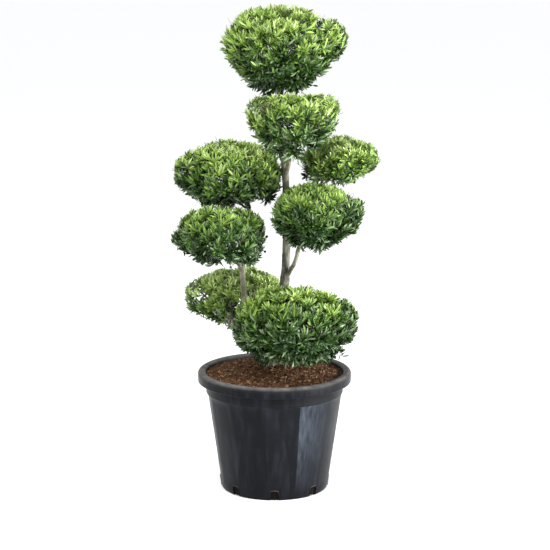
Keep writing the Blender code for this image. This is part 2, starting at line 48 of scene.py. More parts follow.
# each limb is a route of (x, y, z, radius), foot to tip
limbs = {
    "trunk": [
        (-0.0120, 0.000, 0.3283, 0.0250), (-0.0120, 0.000, 0.3350, 0.0205),
        (-0.0110, 0.000, 0.3500, 0.0170), (-0.0050, 0.000, 0.3800, 0.0148),
        (0.0100, 0.001, 0.4500, 0.0130), (0.0250, 0.004, 0.5300, 0.0118),
        (0.0300, 0.010, 0.6200, 0.0102), (0.0310, 0.013, 0.7200, 0.0094),
        (0.0290, 0.012, 0.8000, 0.0088), (0.0220, 0.010, 0.8800, 0.0078),
        (0.0150, 0.007, 0.9800, 0.0068), (0.0120, 0.005, 1.0330, 0.0062)],
    "left_stem": [
        (-0.0080, 0.000, 0.3660, 0.0085), (-0.0300, -0.003, 0.4050, 0.0081),
        (-0.0560, -0.008, 0.4470, 0.0077), (-0.0745, -0.012, 0.4900, 0.0074),
        (-0.0810, -0.010, 0.5450, 0.0070), (-0.0815, -0.004, 0.5920, 0.0066),
        (-0.0740, 0.012, 0.6350, 0.0060), (-0.0640, 0.027, 0.6850, 0.0056),
        (-0.0655, 0.030, 0.7300, 0.0051), (-0.0700, 0.030, 0.7530, 0.0048)],
    "middle_left_bough": [
        (-0.0815, -0.006, 0.5720, 0.0056), (-0.0910, -0.023, 0.5950, 0.0052),
        (-0.1060, -0.050, 0.6250, 0.0046)],
    "low_left_bough": [
        (-0.0120, 0.004, 0.3440, 0.0058), (-0.0350, 0.013, 0.3530, 0.0053),
        (-0.0600, 0.022, 0.3670, 0.0050), (-0.0920, 0.038, 0.3910, 0.0047),
        (-0.1170, 0.060, 0.4290, 0.0043)],
    "low_front_bough": [
        (-0.0100, -0.002, 0.3500, 0.0076), (0.0040, -0.024, 0.3610, 0.0068),
        (0.0180, -0.052, 0.3730, 0.0062), (0.0300, -0.080, 0.3920, 0.0055)],
    "middle_right_bough": [
        (0.0275, 0.006, 0.5510, 0.0063), (0.0400, -0.007, 0.5760, 0.0057),
        (0.0540, -0.026, 0.6080, 0.0053), (0.0670, -0.048, 0.6660, 0.0047)],
    "upper_right_bough": [
        (0.0310, 0.013, 0.7140, 0.0058), (0.0560, 0.030, 0.7380, 0.0052),
        (0.0920, 0.048, 0.7630, 0.0048), (0.1290, 0.062, 0.7920, 0.0043)],
    "upper_centre_bough": [
        (0.0280, 0.011, 0.8170, 0.0066), (0.0320, -0.006, 0.8380, 0.0061),
        (0.0360, -0.028, 0.8610, 0.0057), (0.0400, -0.055, 0.8950, 0.0050)],
}

# each cloud: the limb that carries it, how many sprays and shoots on each, its lobes (x, y, z of the widest level,
# half widths rx and ry, reach up and down), how round its dome and skirt are, how bronze its leaves are, and its
# light: a painted light that lifts every leaf tone of the pad, most for pads that the lamps leave in shade
clouds = {
    "top_cloud": dict(
        limb="trunk", seed=11, sprays=205, shoots=8, gaps=0.22, stray=0.06, light=0.11, bronze=0.00, dome=2.1, skirt=1.45, lobes=[
            (0.012, 0.000, 1.153, 0.148, 0.132, 0.098, 0.133),
            (0.077, -0.012, 1.185, 0.058, 0.070, 0.050, 0.073),
            (0.138, 0.006, 1.170, 0.048, 0.062, 0.053, 0.070)]),
    "upper_centre_cloud": dict(
        limb="upper_centre_bough", seed=12, sprays=138, shoots=8, longer=1.35, gaps=0.30, stray=0.20, light=0.12, bronze=0.03, dome=2.3, skirt=1.45, lobes=[
            (0.045, -0.095, 0.975, 0.108, 0.090, 0.067, 0.106),
            (0.120, -0.090, 1.003, 0.046, 0.056, 0.037, 0.080),
            (-0.032, -0.098, 0.995, 0.043, 0.050, 0.041, 0.062)]),
    "upper_left_cloud": dict(
        limb="left_stem", seed=13, sprays=172, shoots=8, gaps=0.18, stray=0.03, light=0.13, bronze=0.01, dome=2.2, skirt=2.15, lobes=[
            (-0.113, 0.030, 0.829, 0.129, 0.118, 0.082, 0.098),
            (-0.219, 0.026, 0.835, 0.042, 0.060, 0.041, 0.064),
            (-0.038, 0.020, 0.797, 0.050, 0.060, 0.035, 0.044)]),
    "upper_right_cloud": dict(
        limb="upper_right_bough", seed=14, sprays=130, shoots=8, gaps=0.34, stray=0.03, light=0.27, bronze=0.01, dome=2.3, skirt=1.50, lobes=[
            (0.164, 0.070, 0.855, 0.093, 0.092, 0.061, 0.075),
            (0.231, 0.066, 0.857, 0.042, 0.058, 0.042, 0.046),
            (0.102, 0.060, 0.825, 0.034, 0.048, 0.032, 0.036)]),
    "middle_left_cloud": dict(
        limb="middle_left_bough", seed=15, sprays=150, shoots=8, gaps=0.30, stray=0.05, light=-0.01, bronze=0.01, dome=2.2, skirt=2.10, lobes=[
            (-0.130, -0.082, 0.690, 0.108, 0.100, 0.072, 0.088),
            (-0.219, -0.078, 0.677, 0.041, 0.058, 0.035, 0.042),
            (-0.062, -0.086, 0.654, 0.037, 0.052, 0.032, 0.046)]),
    "middle_right_cloud": dict(
        limb="middle_right_bough", seed=16, sprays=150, shoots=8, gaps=0.20, stray=0.08, light=-0.02, bronze=0.01, dome=2.3, skirt=1.75, lobes=[
            (0.097, -0.084, 0.741, 0.106, 0.098, 0.075, 0.098),
            (0.180, -0.080, 0.747, 0.047, 0.060, 0.038, 0.068)]),
    "low_left_cloud": dict(
        limb="low_left_bough", seed=17, sprays=135, shoots=8, gaps=0.50, stray=0.03, light=0.30, bronze=0.01, dome=2.1, skirt=2.30, lobes=[
            (-0.095, 0.108, 0.497, 0.115, 0.100, 0.064, 0.101),
            (-0.189, 0.104, 0.494, 0.053, 0.062, 0.038, 0.056)]),
    "low_front_cloud": dict(
        limb="low_front_bough", seed=28, sprays=235, shoots=8, footShoots=9, gaps=0.08, stray=0.03, light=-0.04, bronze=0.01, dome=2.3, skirt=2.15, lobes=[
            (0.047, -0.128, 0.468, 0.143, 0.104, 0.090, 0.102),
            (0.156, -0.122, 0.466, 0.057, 0.064, 0.063, 0.058),
            (-0.055, -0.125, 0.446, 0.052, 0.060, 0.058, 0.058),
            (0.118, -0.122, 0.410, 0.048, 0.060, 0.040, 0.046)]),
}

# how far leaves may stand past a pad's own surface, and how close to bark
padShape = {"leafReach": (0.93, 1.12), "pastShoot": 0.06, "limbMargin": 0.0012}


# small helpers

def unit(vectors):
    # each row divided by its own length
    return vectors / np.maximum(np.linalg.norm(vectors, axis=-1, keepdims=True), 1e-9)


def smoothRoute(points, spacing):
    # Catmull-Rom curve: every stretch blends its four nearest route points with cubics of t
    p = np.array(points, float)
    ends = np.vstack([2 * p[0] - p[1], p, 2 * p[-1] - p[-2]])
    gaps = np.linalg.norm(np.diff(p[:, :3], axis=0), axis=1)
    counts = np.maximum(1, np.round(gaps / spacing)).astype(int)
    place = np.concatenate([i + np.arange(n) / n for i, n in enumerate(counts)] + [[len(p) - 1.0]])
    i = np.minimum(place.astype(int), len(p) - 2)
    t = (place - i)[:, None]
    before, start, end, after = ends[i], ends[i + 1], ends[i + 2], ends[i + 3]
    return 0.5 * (2 * start + (end - before) * t
                  + (2 * before - 5 * start + 4 * end - after) * t ** 2
                  + (3 * start - before - 3 * end + after) * t ** 3)


def gridFaces(rows, cols, wrap=True):
    # quads between neighbouring rows of a rows x cols grid, the last column joined to the first
    r = np.arange(rows - 1)[:, None]
    c = np.arange(cols if wrap else cols - 1)[None, :]
    n = (c + 1) % cols
    quads = np.stack([r * cols + c, r * cols + n, (r + 1) * cols + n, (r + 1) * cols + c], axis=-1)
    return quads.reshape(-1, 4)


def addPiece(name, verts, faces, materials, tones=None, smooth=True, nodes=()):
    # a mesh from whole arrays; tones gives each face its material's number
    mesh = bpy.data.meshes.new(name)
    mesh.from_pydata(np.asarray(verts).reshape(-1, 3), [], np.asarray(faces))
    for material in materials:
        mesh.materials.append(material)
    if tones is not None:
        mesh.polygons.foreach_set("material_index", np.asarray(tones, dtype=np.int32))
    mesh.polygons.foreach_set("use_smooth", np.full(len(mesh.polygons), smooth))
    mesh.update()
    piece = bpy.data.objects.new(name, mesh)
    bpy.context.scene.collection.objects.link(piece)
    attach(piece, "root")
    if nodes:
        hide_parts(*nodes)
    return piece


def pathFrames(paths):
    # tangents by central differences, and two sides square to them, for paths of (..., point, xyz)
    tangent = unit(np.gradient(paths, axis=-2))
    lead = np.abs(unit(paths[..., -1:, :] - paths[..., :1, :]))
    flat = (lead[..., 2:] < 0.75)
    guide = np.where(flat, np.array([0.0, 0.0, 1.0]), np.array([0.0, 1.0, 0.0]))
    side = unit(np.cross(np.broadcast_to(guide, tangent.shape), tangent))
    return tangent, side, np.cross(tangent, side)


def tubes(paths, radii, sides):
    # many tubes at once: ring k of path p is its point plus radius times cos and sin of the sides
    tangent, side, up = pathFrames(paths)
    angle = 2 * math.pi * np.arange(sides) / sides
    ring = (side[..., None, :] * np.cos(angle)[:, None] + up[..., None, :] * np.sin(angle)[:, None])
    verts = paths[..., None, :] + ring * radii[..., None, None]
    count, rows = paths.shape[0], paths.shape[1]
    faces = gridFaces(rows, sides)[None] + (np.arange(count) * rows * sides)[:, None, None]
    return verts.reshape(-1, 3), faces.reshape(-1, 4)


# materials

def plainMaterial(name, color, roughness, specular=0.5, coat=0.0):
    # one colour and gloss all over
    material = bpy.data.materials.new(name)
    material.use_nodes = True
    shader = material.node_tree.nodes["Principled BSDF"]
    shader.inputs["Base Color"].default_value = (*color, 1.0)
    shader.inputs["Roughness"].default_value = roughness
    shader.inputs["Specular IOR Level"].default_value = specular
    shader.inputs["Coat Weight"].default_value = coat
    material.diffuse_color = (*color, 1.0)
    return material


def newGroup(name, inputs, outputs):
    # a shader node group with named sockets: (name, kind, default)
    group = bpy.data.node_groups.new(name, "ShaderNodeTree")
    for label, kind, value in inputs:
        socket = group.interface.new_socket(label, in_out="INPUT", socket_type=kind)
        if value is not None:
            socket.default_value = value
    for label, kind in outputs:
        group.interface.new_socket(label, in_out="OUTPUT", socket_type=kind)
    return group, group.nodes.new("NodeGroupInput"), group.nodes.new("NodeGroupOutput")


def mathNode(tree, operation, a, b=None, clamp=False):
    node = tree.nodes.new("ShaderNodeMath")
    node.operation = operation
    node.use_clamp = clamp
    for socket, value in zip(node.inputs, (a, b)):
        if isinstance(value, (int, float)):
            socket.default_value = value
        elif value is not None:
            tree.links.new(value, socket)
    return node.outputs[0]


def mixColor(tree, factor, a, b):
    node = tree.nodes.new("ShaderNodeMix")
    node.data_type = "RGBA"
    for socket, value in ((node.inputs["Factor"], factor), (node.inputs[6], a), (node.inputs[7], b)):
        if isinstance(value, tuple):
            socket.default_value = (*value, 1.0)
        elif isinstance(value, float):
            socket.default_value = value
        else:
            tree.links.new(value, socket)
    return node.outputs[2]


def makePatchGroup():
    # soft-edged patches: noise of the given vector, cut between two levels round Level
    group, start, end = newGroup("patches", [
        ("Vector", "NodeSocketVector", None), ("Scale", "NodeSocketFloat", 20.0),
        ("Detail", "NodeSocketFloat", 4.0), ("Level", "NodeSocketFloat", 0.5),
        ("Softness", "NodeSocketFloat", 0.1)], [("Mask", "NodeSocketFloat")])
    noise = group.nodes.new("ShaderNodeTexNoise")
    group.links.new(start.outputs["Vector"], noise.inputs["Vector"])
    group.links.new(start.outputs["Scale"], noise.inputs["Scale"])
    group.links.new(start.outputs["Detail"], noise.inputs["Detail"])
    below = mathNode(group, "SUBTRACT", noise.outputs["Fac"], start.outputs["Level"])
    steep = mathNode(group, "DIVIDE", below, start.outputs["Softness"])
    group.links.new(mathNode(group, "ADD", steep, 0.5, clamp=True), end.inputs["Mask"])
    return group


def makeDustAndHighlightGroup():
    # dust that lies where a surface looks up, broken by noise; on the rim's roll the same pale colour also stands as a
    # painted highlight
    group, start, end = newGroup("dustAndPaintedHighlight", [
        ("Vector", "NodeSocketVector", None), ("Amount", "NodeSocketFloat", 0.6),
        ("Scale", "NodeSocketFloat", 60.0)], [("Mask", "NodeSocketFloat")])
    geometry = group.nodes.new("ShaderNodeNewGeometry")
    split = group.nodes.new("ShaderNodeSeparateXYZ")
    group.links.new(geometry.outputs["Normal"], split.inputs[0])
    noise = group.nodes.new("ShaderNodeTexNoise")
    noise.inputs["Detail"].default_value = 6.0
    group.links.new(start.outputs["Vector"], noise.inputs["Vector"])
    group.links.new(start.outputs["Scale"], noise.inputs["Scale"])
    # facing up: real dust settles here, and the top of the rim is also painted lighter here as a highlight
    facing = mathNode(group, "MULTIPLY", mathNode(group, "ADD", split.outputs["Z"], 0.03, clamp=True), 1.1)
    grain = mathNode(group, "MULTIPLY", mathNode(group, "SUBTRACT", noise.outputs["Fac"], 0.10, clamp=True), 1.9)
    both = mathNode(group, "MULTIPLY", facing, grain)
    group.links.new(mathNode(group, "MULTIPLY", both, start.outputs["Amount"], clamp=True), end.inputs["Mask"])
    return group


patchGroup = makePatchGroup()
dustAndHighlightGroup = makeDustAndHighlightGroup()


def placeGroup(tree, group, vector, **values):
    node = tree.nodes.new("ShaderNodeGroup")
    node.node_tree = group
    tree.links.new(vector, node.inputs["Vector"])
    for label, value in values.items():
        node.inputs[label].default_value = value
    return node.outputs[0]


def objectVector(tree, scale=(1.0, 1.0, 1.0)):
    place = tree.nodes.new("ShaderNodeTexCoord")
    mapping = tree.nodes.new("ShaderNodeMapping")
    mapping.inputs["Scale"].default_value = scale
    tree.links.new(place.outputs["Object"], mapping.inputs["Vector"])
    return mapping.outputs["Vector"]


def bumpNode(tree, height, distance, strength=1.0, below=None):
    bump = tree.nodes.new("ShaderNodeBump")
    bump.inputs["Distance"].default_value = distance
    bump.inputs["Strength"].default_value = strength
    tree.links.new(height, bump.inputs["Height"])
    if below is not None:
        tree.links.new(below, bump.inputs["Normal"])
    return bump.outputs["Normal"]


def noiseNode(tree, vector, scale, detail=4.0, roughness=0.5):
    noise = tree.nodes.new("ShaderNodeTexNoise")
    noise.inputs["Scale"].default_value = scale
    noise.inputs["Detail"].default_value = detail
    noise.inputs["Roughness"].default_value = roughness
    tree.links.new(vector, noise.inputs["Vector"])
    return noise.outputs["Fac"]


def patternMaterial(name):
    material = bpy.data.materials.new(name)
    material.use_nodes = True
    tree = material.node_tree
    return material, tree, tree.nodes["Principled BSDF"]


potPlastic = {
    # the last colour on the next line is dust, and also a painted highlight along the top of the rim's roll
    "color": (0.0036, 0.0041, 0.0054), "scuff": (0.015, 0.018, 0.024), "dustAndHighlight": (0.128, 0.121, 0.116),
    # the first colour on the next line is a painted lamp reflection, laid on the wall panels
    "paintedReflection": (0.064, 0.077, 0.100), "roughness": 0.32, "dustAndHighlightAmount": 0.95, "specular": 0.08,
}


def paintedPanelReflection(tree, vector):
    # painted reflection on the wall panels: share = (angle from the front - turn) / panel width; every fourth panel
    # carries a painted lamp reflection from a crisp left edge, fading to its right and towards the foot, the rest a
    # faint one
    split = tree.nodes.new("ShaderNodeSeparateXYZ")
    tree.links.new(vector, split.inputs[0])
    x, y, z = split.outputs
    angle = mathNode(tree, "ARCTAN2", x, mathNode(tree, "MULTIPLY", y, -1.0))
    share = mathNode(tree, "DIVIDE", mathNode(tree, "SUBTRACT", angle, math.radians(22.0)), math.radians(30.0))
    panel = mathNode(tree, "FLOOR", share)
    across = mathNode(tree, "SUBTRACT", share, panel)
    fourth = mathNode(tree, "COMPARE", mathNode(tree, "FLOORED_MODULO", panel, 4.0), 0.0)
    strength = mathNode(tree, "ADD", mathNode(tree, "MULTIPLY", fourth, 0.90), 0.04)
    fade = mathNode(tree, "ADD", mathNode(tree, "MULTIPLY", mathNode(tree, "POWER", mathNode(tree, "SUBTRACT", 1.0, across), 1.6), 0.75), 0.25)
    foot = mathNode(tree, "DIVIDE", mathNode(tree, "SUBTRACT", z, 0.020), 0.190, clamp=True)
    below = mathNode(tree, "LESS_THAN", z, 0.256)
    upper = mathNode(tree, "MULTIPLY", mathNode(tree, "POWER", foot, 0.8), below)
    return mathNode(tree, "MULTIPLY", mathNode(tree, "MULTIPLY", strength, fade), upper)


def makePotMaterial(opts):
    # blown plastic: dark ground, faint upright scuffs, a painted lamp reflection on the wall panels, dust on what looks
    # up that also paints a highlight along the rim, soft orange-peel bump
    material, tree, shader = patternMaterial("potPlastic")
    fine = objectVector(tree)
    upright = objectVector(tree, (1.0, 1.0, 0.10))
    scuffs = placeGroup(tree, patchGroup, upright, Scale=70.0, Detail=5.0, Level=0.54, Softness=0.24)
    streaks = placeGroup(tree, patchGroup, upright, Scale=150.0, Detail=4.0, Level=0.44, Softness=0.60)
    # painted reflection: a bluish lamp glint painted on the wall panels, broken by upright streaks
    paintedReflection = mathNode(tree, "MULTIPLY", paintedPanelReflection(tree, fine), streaks)
    cloudy = placeGroup(tree, patchGroup, fine, Scale=14.0, Detail=5.0, Level=0.52, Softness=0.35)
    # dust on up-facing surfaces, which also serves as a painted highlight along the top of the rim
    dustAndHighlight = placeGroup(tree, dustAndHighlightGroup, fine, Amount=opts["dustAndHighlightAmount"], Scale=45.0)
    worn = mathNode(tree, "MULTIPLY", scuffs, cloudy)
    color = mixColor(tree, mathNode(tree, "MULTIPLY", worn, 0.8), opts["color"], opts["scuff"])
    color = mixColor(tree, paintedReflection, color, opts["paintedReflection"])
    color = mixColor(tree, dustAndHighlight, color, opts["dustAndHighlight"])
    tree.links.new(color, shader.inputs["Base Color"])
    rough = mathNode(tree, "ADD", mathNode(tree, "MULTIPLY", cloudy, 0.12), opts["roughness"])
    rough = mathNode(tree, "ADD", rough, mathNode(tree, "MULTIPLY", dustAndHighlight, 0.35), clamp=True)
    tree.links.new(rough, shader.inputs["Roughness"])
    shader.inputs["Specular IOR Level"].default_value = opts["specular"]
    peel = noiseNode(tree, fine, 420.0, 2.0)
    tree.links.new(bumpNode(tree, peel, 0.0002, 0.25), shader.inputs["Normal"])
    return material


oldBark = {
    "name": "smoothBark", "ground": (0.060, 0.061, 0.042), "pale": (0.160, 0.164, 0.122),
    "dark": (0.020, 0.018, 0.013), "green": (0.048, 0.064, 0.028), "roughness": 0.80,
}
youngBark = {
    "name": "youngBark", "ground": (0.112, 0.108, 0.074), "pale": (0.260, 0.250, 0.188),
    "dark": (0.034, 0.030, 0.021), "green": (0.090, 0.104, 0.048), "roughness": 0.75,
}
# painted light: from 0.60 m up the bark blends towards this pale colour, lifting the upper wood that sits in the pads'
# shade
paintedUpperLight = {"from": 0.60, "over": 0.25, "share": 0.62, "color": (0.270, 0.245, 0.180)}


def makeBarkMaterial(opts):
    # smooth grey bark, paler higher up as painted light on wood that the pads shade: pale and dark patches, a green
    # bloom, short crosswise pores, fine cracks
    material, tree, shader = patternMaterial(opts["name"])
    fine = objectVector(tree)
    split = tree.nodes.new("ShaderNodeSeparateXYZ")
    tree.links.new(fine, split.inputs[0])
    high = mathNode(tree, "SUBTRACT", split.outputs["Z"], paintedUpperLight["from"])
    high = mathNode(tree, "DIVIDE", high, paintedUpperLight["over"], clamp=True)
    long = objectVector(tree, (1.0, 1.0, 0.30))
    across = objectVector(tree, (0.35, 0.35, 2.2))
    pale = placeGroup(tree, patchGroup, long, Scale=95.0, Detail=5.0, Level=0.50, Softness=0.10)
    dark = placeGroup(tree, patchGroup, fine, Scale=60.0, Detail=6.0, Level=0.60, Softness=0.12)
    green = placeGroup(tree, patchGroup, fine, Scale=22.0, Detail=3.0, Level=0.55, Softness=0.18)
    pores = placeGroup(tree, patchGroup, across, Scale=420.0, Detail=2.0, Level=0.66, Softness=0.08)
    color = mixColor(tree, pale, opts["ground"], opts["pale"])
    # painted light: the upper wood is blended towards a pale colour
    color = mixColor(tree, mathNode(tree, "MULTIPLY", high, paintedUpperLight["share"]), color, paintedUpperLight["color"])
    color = mixColor(tree, mathNode(tree, "MULTIPLY", green, 0.7), color, opts["green"])
    color = mixColor(tree, mathNode(tree, "MULTIPLY", dark, 0.8), color, opts["dark"])
    color = mixColor(tree, mathNode(tree, "MULTIPLY", pores, 0.6), color, opts["dark"])
    tree.links.new(color, shader.inputs["Base Color"])
    shader.inputs["Roughness"].default_value = opts["roughness"]
    cracks = noiseNode(tree, long, 700.0, 6.0, 0.7)
    first = bumpNode(tree, cracks, 0.0006, 0.6)
    tree.links.new(bumpNode(tree, pores, 0.0004, 0.5, first), shader.inputs["Normal"])
    return material


compostFinish = {"dark": (0.020, 0.010, 0.005), "brown": (0.122, 0.060, 0.029), "tan": (0.250, 0.150, 0.082)}


def makeCompostMaterial(opts):
    # crumbly ground: dark hollows, brown crumbs, a few tan flecks, deep bump
    material, tree, shader = patternMaterial("compostGround")
    fine = objectVector(tree)
    crumbs = placeGroup(tree, patchGroup, fine, Scale=260.0, Detail=8.0, Level=0.50, Softness=0.22)
    flecks = placeGroup(tree, patchGroup, fine, Scale=520.0, Detail=3.0, Level=0.68, Softness=0.05)
    color = mixColor(tree, crumbs, opts["dark"], opts["brown"])
    color = mixColor(tree, flecks, color, opts["tan"])
    tree.links.new(color, shader.inputs["Base Color"])
    shader.inputs["Roughness"].default_value = 0.95
    shader.inputs["Specular IOR Level"].default_value = 0.15
    relief = noiseNode(tree, fine, 240.0, 9.0, 0.65)
    tree.links.new(bumpNode(tree, relief, 0.003, 1.0), shader.inputs["Normal"])
    return material


potMaterial = makePotMaterial(potPlastic)
barkMaterial = makeBarkMaterial(oldBark)
boughMaterial = makeBarkMaterial(youngBark)
compostMaterial = makeCompostMaterial(compostFinish)

# leaf colours from the painted shade of the inside to the painted light of the tops and the newest tips, then bronze
# and pale backs
leafFinish = {
    "shade": (0.016, 0.046, 0.008), "deep": (0.043, 0.097, 0.018), "mid": (0.098, 0.181, 0.036),
    "fresh": (0.188, 0.308, 0.048), "bright": (0.290, 0.425, 0.090), "tip": (0.395, 0.520, 0.165),
    "bronze": (0.122, 0.146, 0.056), "back": (0.165, 0.235, 0.120),
    "roughness": 0.38, "specular": 0.36,
}
leafTones = ["shade", "deep", "mid", "fresh", "bright", "tip", "bronze", "back"]
leafMaterials = [plainMaterial(f"leaf_{tone}", leafFinish[tone], leafFinish["roughness"], leafFinish["specular"])
                 for tone in leafTones]
twigMaterials = [
    plainMaterial("twigBrown", (0.120, 0.095, 0.055), 0.7),
    plainMaterial("twigGreen", (0.110, 0.140, 0.045), 0.55),
]
chipMaterials = [
    plainMaterial("chipDark", (0.032, 0.016, 0.008), 0.9, 0.15),
    plainMaterial("chipBrown", (0.112, 0.054, 0.027), 0.9, 0.15),
    plainMaterial("chipRed", (0.172, 0.082, 0.040), 0.9, 0.15),
    plainMaterial("chipTan", (0.330, 0.210, 0.120), 0.9, 0.15),
]
# painted shade: a near-black colour for the compost's skirt and floor inside the pot, seen through the drain slots
shadeInsidePotMaterial = plainMaterial("paintedShadeInsidePot", (0.006, 0.004, 0.003), 0.9, 0.1)
berryMaterial = plainMaterial("darkFruit", (0.006, 0.005, 0.007), 0.25, 0.3)
print("materials ready")


# the container

pot = {
    "rimRadius": 0.200, "height": 0.313, "rimDepth": 0.028, "baseRadius": 0.139, "wall": 0.0025,
    "shoulderRadius": 0.1785, "shoulderHeight": 0.257, "sides": 432,
    "facets": 12, "facetTurn": math.radians(22.0), "facetDepth": 0.30,
    "drains": 8, "drainWidth": 0.022, "drainHeight": 0.026, "drainLip": 0.0010,
}


def wallRadius(z):
    # straight taper from the foot to just under the shoulder
    return pot["baseRadius"] + (pot["shoulderRadius"] - 0.002 - pot["baseRadius"]) * z / pot["shoulderHeight"]


def arc(centre, radius, start, end, steps):
    # (r, z) points of an arc, angles in degrees from the outward direction
    a = np.radians(np.linspace(start, end, steps))
    return np.stack([centre[0] + radius * np.cos(a), centre[1] + radius * np.sin(a)], axis=1)


def potProfile():
    # outline of the wall's section, from the inner floor over the rolled rim to the underside
    p, h = pot, pot["height"]
    low = h - p["rimDepth"]
    inner = p["shoulderRadius"] + 0.001
    zs = np.linspace(0.006, p["shoulderHeight"] - 0.005, 40)
    innerWall = np.stack([wallRadius(zs) - p["wall"], zs], axis=1)
    outerWall = np.stack([wallRadius(zs[::-1]), zs[::-1]], axis=1)
    return np.vstack([
        [(0.0, p["wall"]), (0.06, p["wall"]), (wallRadius(0.0025) - 0.007, p["wall"])],
        innerWall,
        [(p["shoulderRadius"] - p["wall"], p["shoulderHeight"]), (inner - p["wall"], low + 0.010),
         (inner - 0.0008, h - 0.010)],
        arc((inner + 0.0055, h - 0.0070), 0.0060, 175, 96, 7),
        [(inner + 0.009, h - 0.0003), (p["rimRadius"] - 0.011, h)],
        arc((p["rimRadius"] - 0.0085, h - 0.0085), 0.0085, 86, 2, 12),
        [(p["rimRadius"], h - 0.014), (p["rimRadius"] - 0.0003, low + 0.004)],
        arc((p["rimRadius"] - 0.0022, low + 0.0018), 0.0018, -5, -90, 5),
        [(p["rimRadius"] - 0.0040, low + 0.0012), (p["rimRadius"] - 0.0045, h - 0.012),
         (inner + 0.010, h - 0.005), (inner + 0.004, h - 0.008), (inner + 0.0008, low + 0.010)],
        [(p["shoulderRadius"] + 0.0006, low - 0.004), (p["shoulderRadius"] + 0.0004, p["shoulderHeight"] + 0.0022)],
        arc((p["shoulderRadius"] - 0.0012, p["shoulderHeight"] + 0.0008), 0.0016, 0, -80, 5),
        outerWall,
        arc((p["baseRadius"] - 0.0040, 0.0040), 0.0040, -8, -82, 7),
        [(p["baseRadius"] - 0.012, 0.0), (0.06, 0.0), (0.0, 0.0)],
    ])


def makePot():
    # turned surface r(a, z): the wall's radius eases towards a twelve-sided shape between foot and shoulder
    p = pot
    profile = potProfile()
    angle = 2 * math.pi * np.arange(p["sides"]) / p["sides"]
    facet = 2 * math.pi / p["facets"]
    # angle is read from the front, growing to the right, so that an edge lies at facetTurn
    off = (angle + math.pi / 2 - p["facetTurn"]) % facet - facet / 2
    flat = math.cos(facet / 2) / np.cos(off)
    flat = (flat - 1.0) * p["facetDepth"]
    z = profile[:, 1]
    window = np.clip((z - 0.010) / 0.020, 0, 1) * np.clip((p["shoulderHeight"] - 0.004 - z) / 0.006, 0, 1)
    window = window * window * (3 - 2 * window)
    onWall = (profile[:, 0] > 0.13) & (z < p["shoulderHeight"])
    r = profile[:, 0][:, None] * (1.0 + np.where(onWall, window, 0.0)[:, None] * flat[None, :])
    verts = np.stack([r * np.cos(angle), r * np.sin(angle), np.broadcast_to(z[:, None], r.shape)], axis=-1)
    piece = addPiece("nurseryPot", verts, gridFaces(len(profile), p["sides"])[:, ::-1], [potMaterial],
                     nodes=["pot"])
    tidyMesh(piece)
    cutDrains(piece)
    piece.data.set_sharp_from_angle(angle=math.radians(38))
    return piece


def tidyMesh(piece):
    # closes poles and seams, drops doubled points, turns faces outwards
    shape = bmesh.new()
    shape.from_mesh(piece.data)
    bmesh.ops.remove_doubles(shape, verts=shape.verts, dist=0.00002)
    bmesh.ops.recalc_face_normals(shape, faces=shape.faces)
    shape.to_mesh(piece.data)
    shape.free()


def cutDrains(piece):
    # slots through the foot's corner, evenly round it, the first at the front
    p = pot
    shape = bmesh.new()
    for i in range(p["drains"]):
        a = 2 * math.pi * i / p["drains"] - math.pi / 2
        out = np.array([math.cos(a), math.sin(a), 0.0])
        along = np.array([-math.sin(a), math.cos(a), 0.0])
        made = bmesh.ops.create_cube(shape, size=1.0)
        for vertex in made["verts"]:
            x, y, z = vertex.co
            narrow = 0.82 if z > 0 else 1.0
            spot = out * (p["baseRadius"] - 0.001 + x * 0.020) + along * y * p["drainWidth"] * narrow
            vertex.co = (spot[0], spot[1], p["drainHeight"] * (z + 0.5) - 0.002 * (0.5 - z))
    mesh = bpy.data.meshes.new("drainSlots")
    shape.to_mesh(mesh)
    shape.free()
    cutter = bpy.data.objects.new("drainSlots", mesh)
    bpy.context.scene.collection.objects.link(cutter)
    cut = piece.modifiers.new("slots", "BOOLEAN")
    cut.operation = "DIFFERENCE"
    cut.object = cutter
    bpy.context.view_layer.update()
    done = bpy.data.meshes.new_from_object(piece.evaluated_get(bpy.context.evaluated_depsgraph_get()))
    piece.modifiers.clear()
    piece.data = done
    bpy.data.objects.remove(cutter)


def makeDrainLips():
    # an arched bead along each slot: half a flattened ring on the wall, plus a short tab inside it
    p = pot
    a = 2 * math.pi * np.arange(p["drains"]) / p["drains"] - math.pi / 2
    out = np.stack([np.cos(a), np.sin(a), 0 * a], axis=1)
    along = np.stack([-np.sin(a), np.cos(a), 0 * a], axis=1)
    t = np.linspace(0, math.pi, 15)
    half, rise = p["drainWidth"] * 0.52, p["drainHeight"] - 0.001
    across = -half * np.sign(np.cos(t)) * np.abs(np.cos(t)) ** 0.35
    height = 0.002 + rise * np.abs(np.sin(t)) ** 0.6
    beads = (out[:, None] * (wallRadius(height) - across ** 2 / (2 * p["baseRadius"]))[None, :, None]
             + along[:, None] * across[None, :, None])
    beads[..., 2] = height
    tabs = out[:, None] * (wallRadius(0.004) - 0.003) + np.array([0.0, 0.0, 1.0]) * np.linspace(0.002, 0.013, 3)[:, None]
    first, firstFaces = tubes(beads, np.full(beads.shape[:2], p["drainLip"]), 8)
    second, secondFaces = tubes(tabs, np.full(tabs.shape[:2], p["drainLip"] * 1.5), 8)
    return addPiece("drainLips", np.vstack([first, second]), np.vstack([firstFaces, secondFaces + len(first)]),
                    [potMaterial])


makePot()
makeDrainLips()
print("pot made")


# the compost

compost = {
    "edgeHeight": 0.302, "topHeight": 0.328, "seatRadius": 0.034, "edgeRadius": 0.1776,
    "rings": 110, "sides": 300, "lump": 0.0028, "chips": 12000, "chipSize": (0.0020, 0.0080), "seed": 5,
}


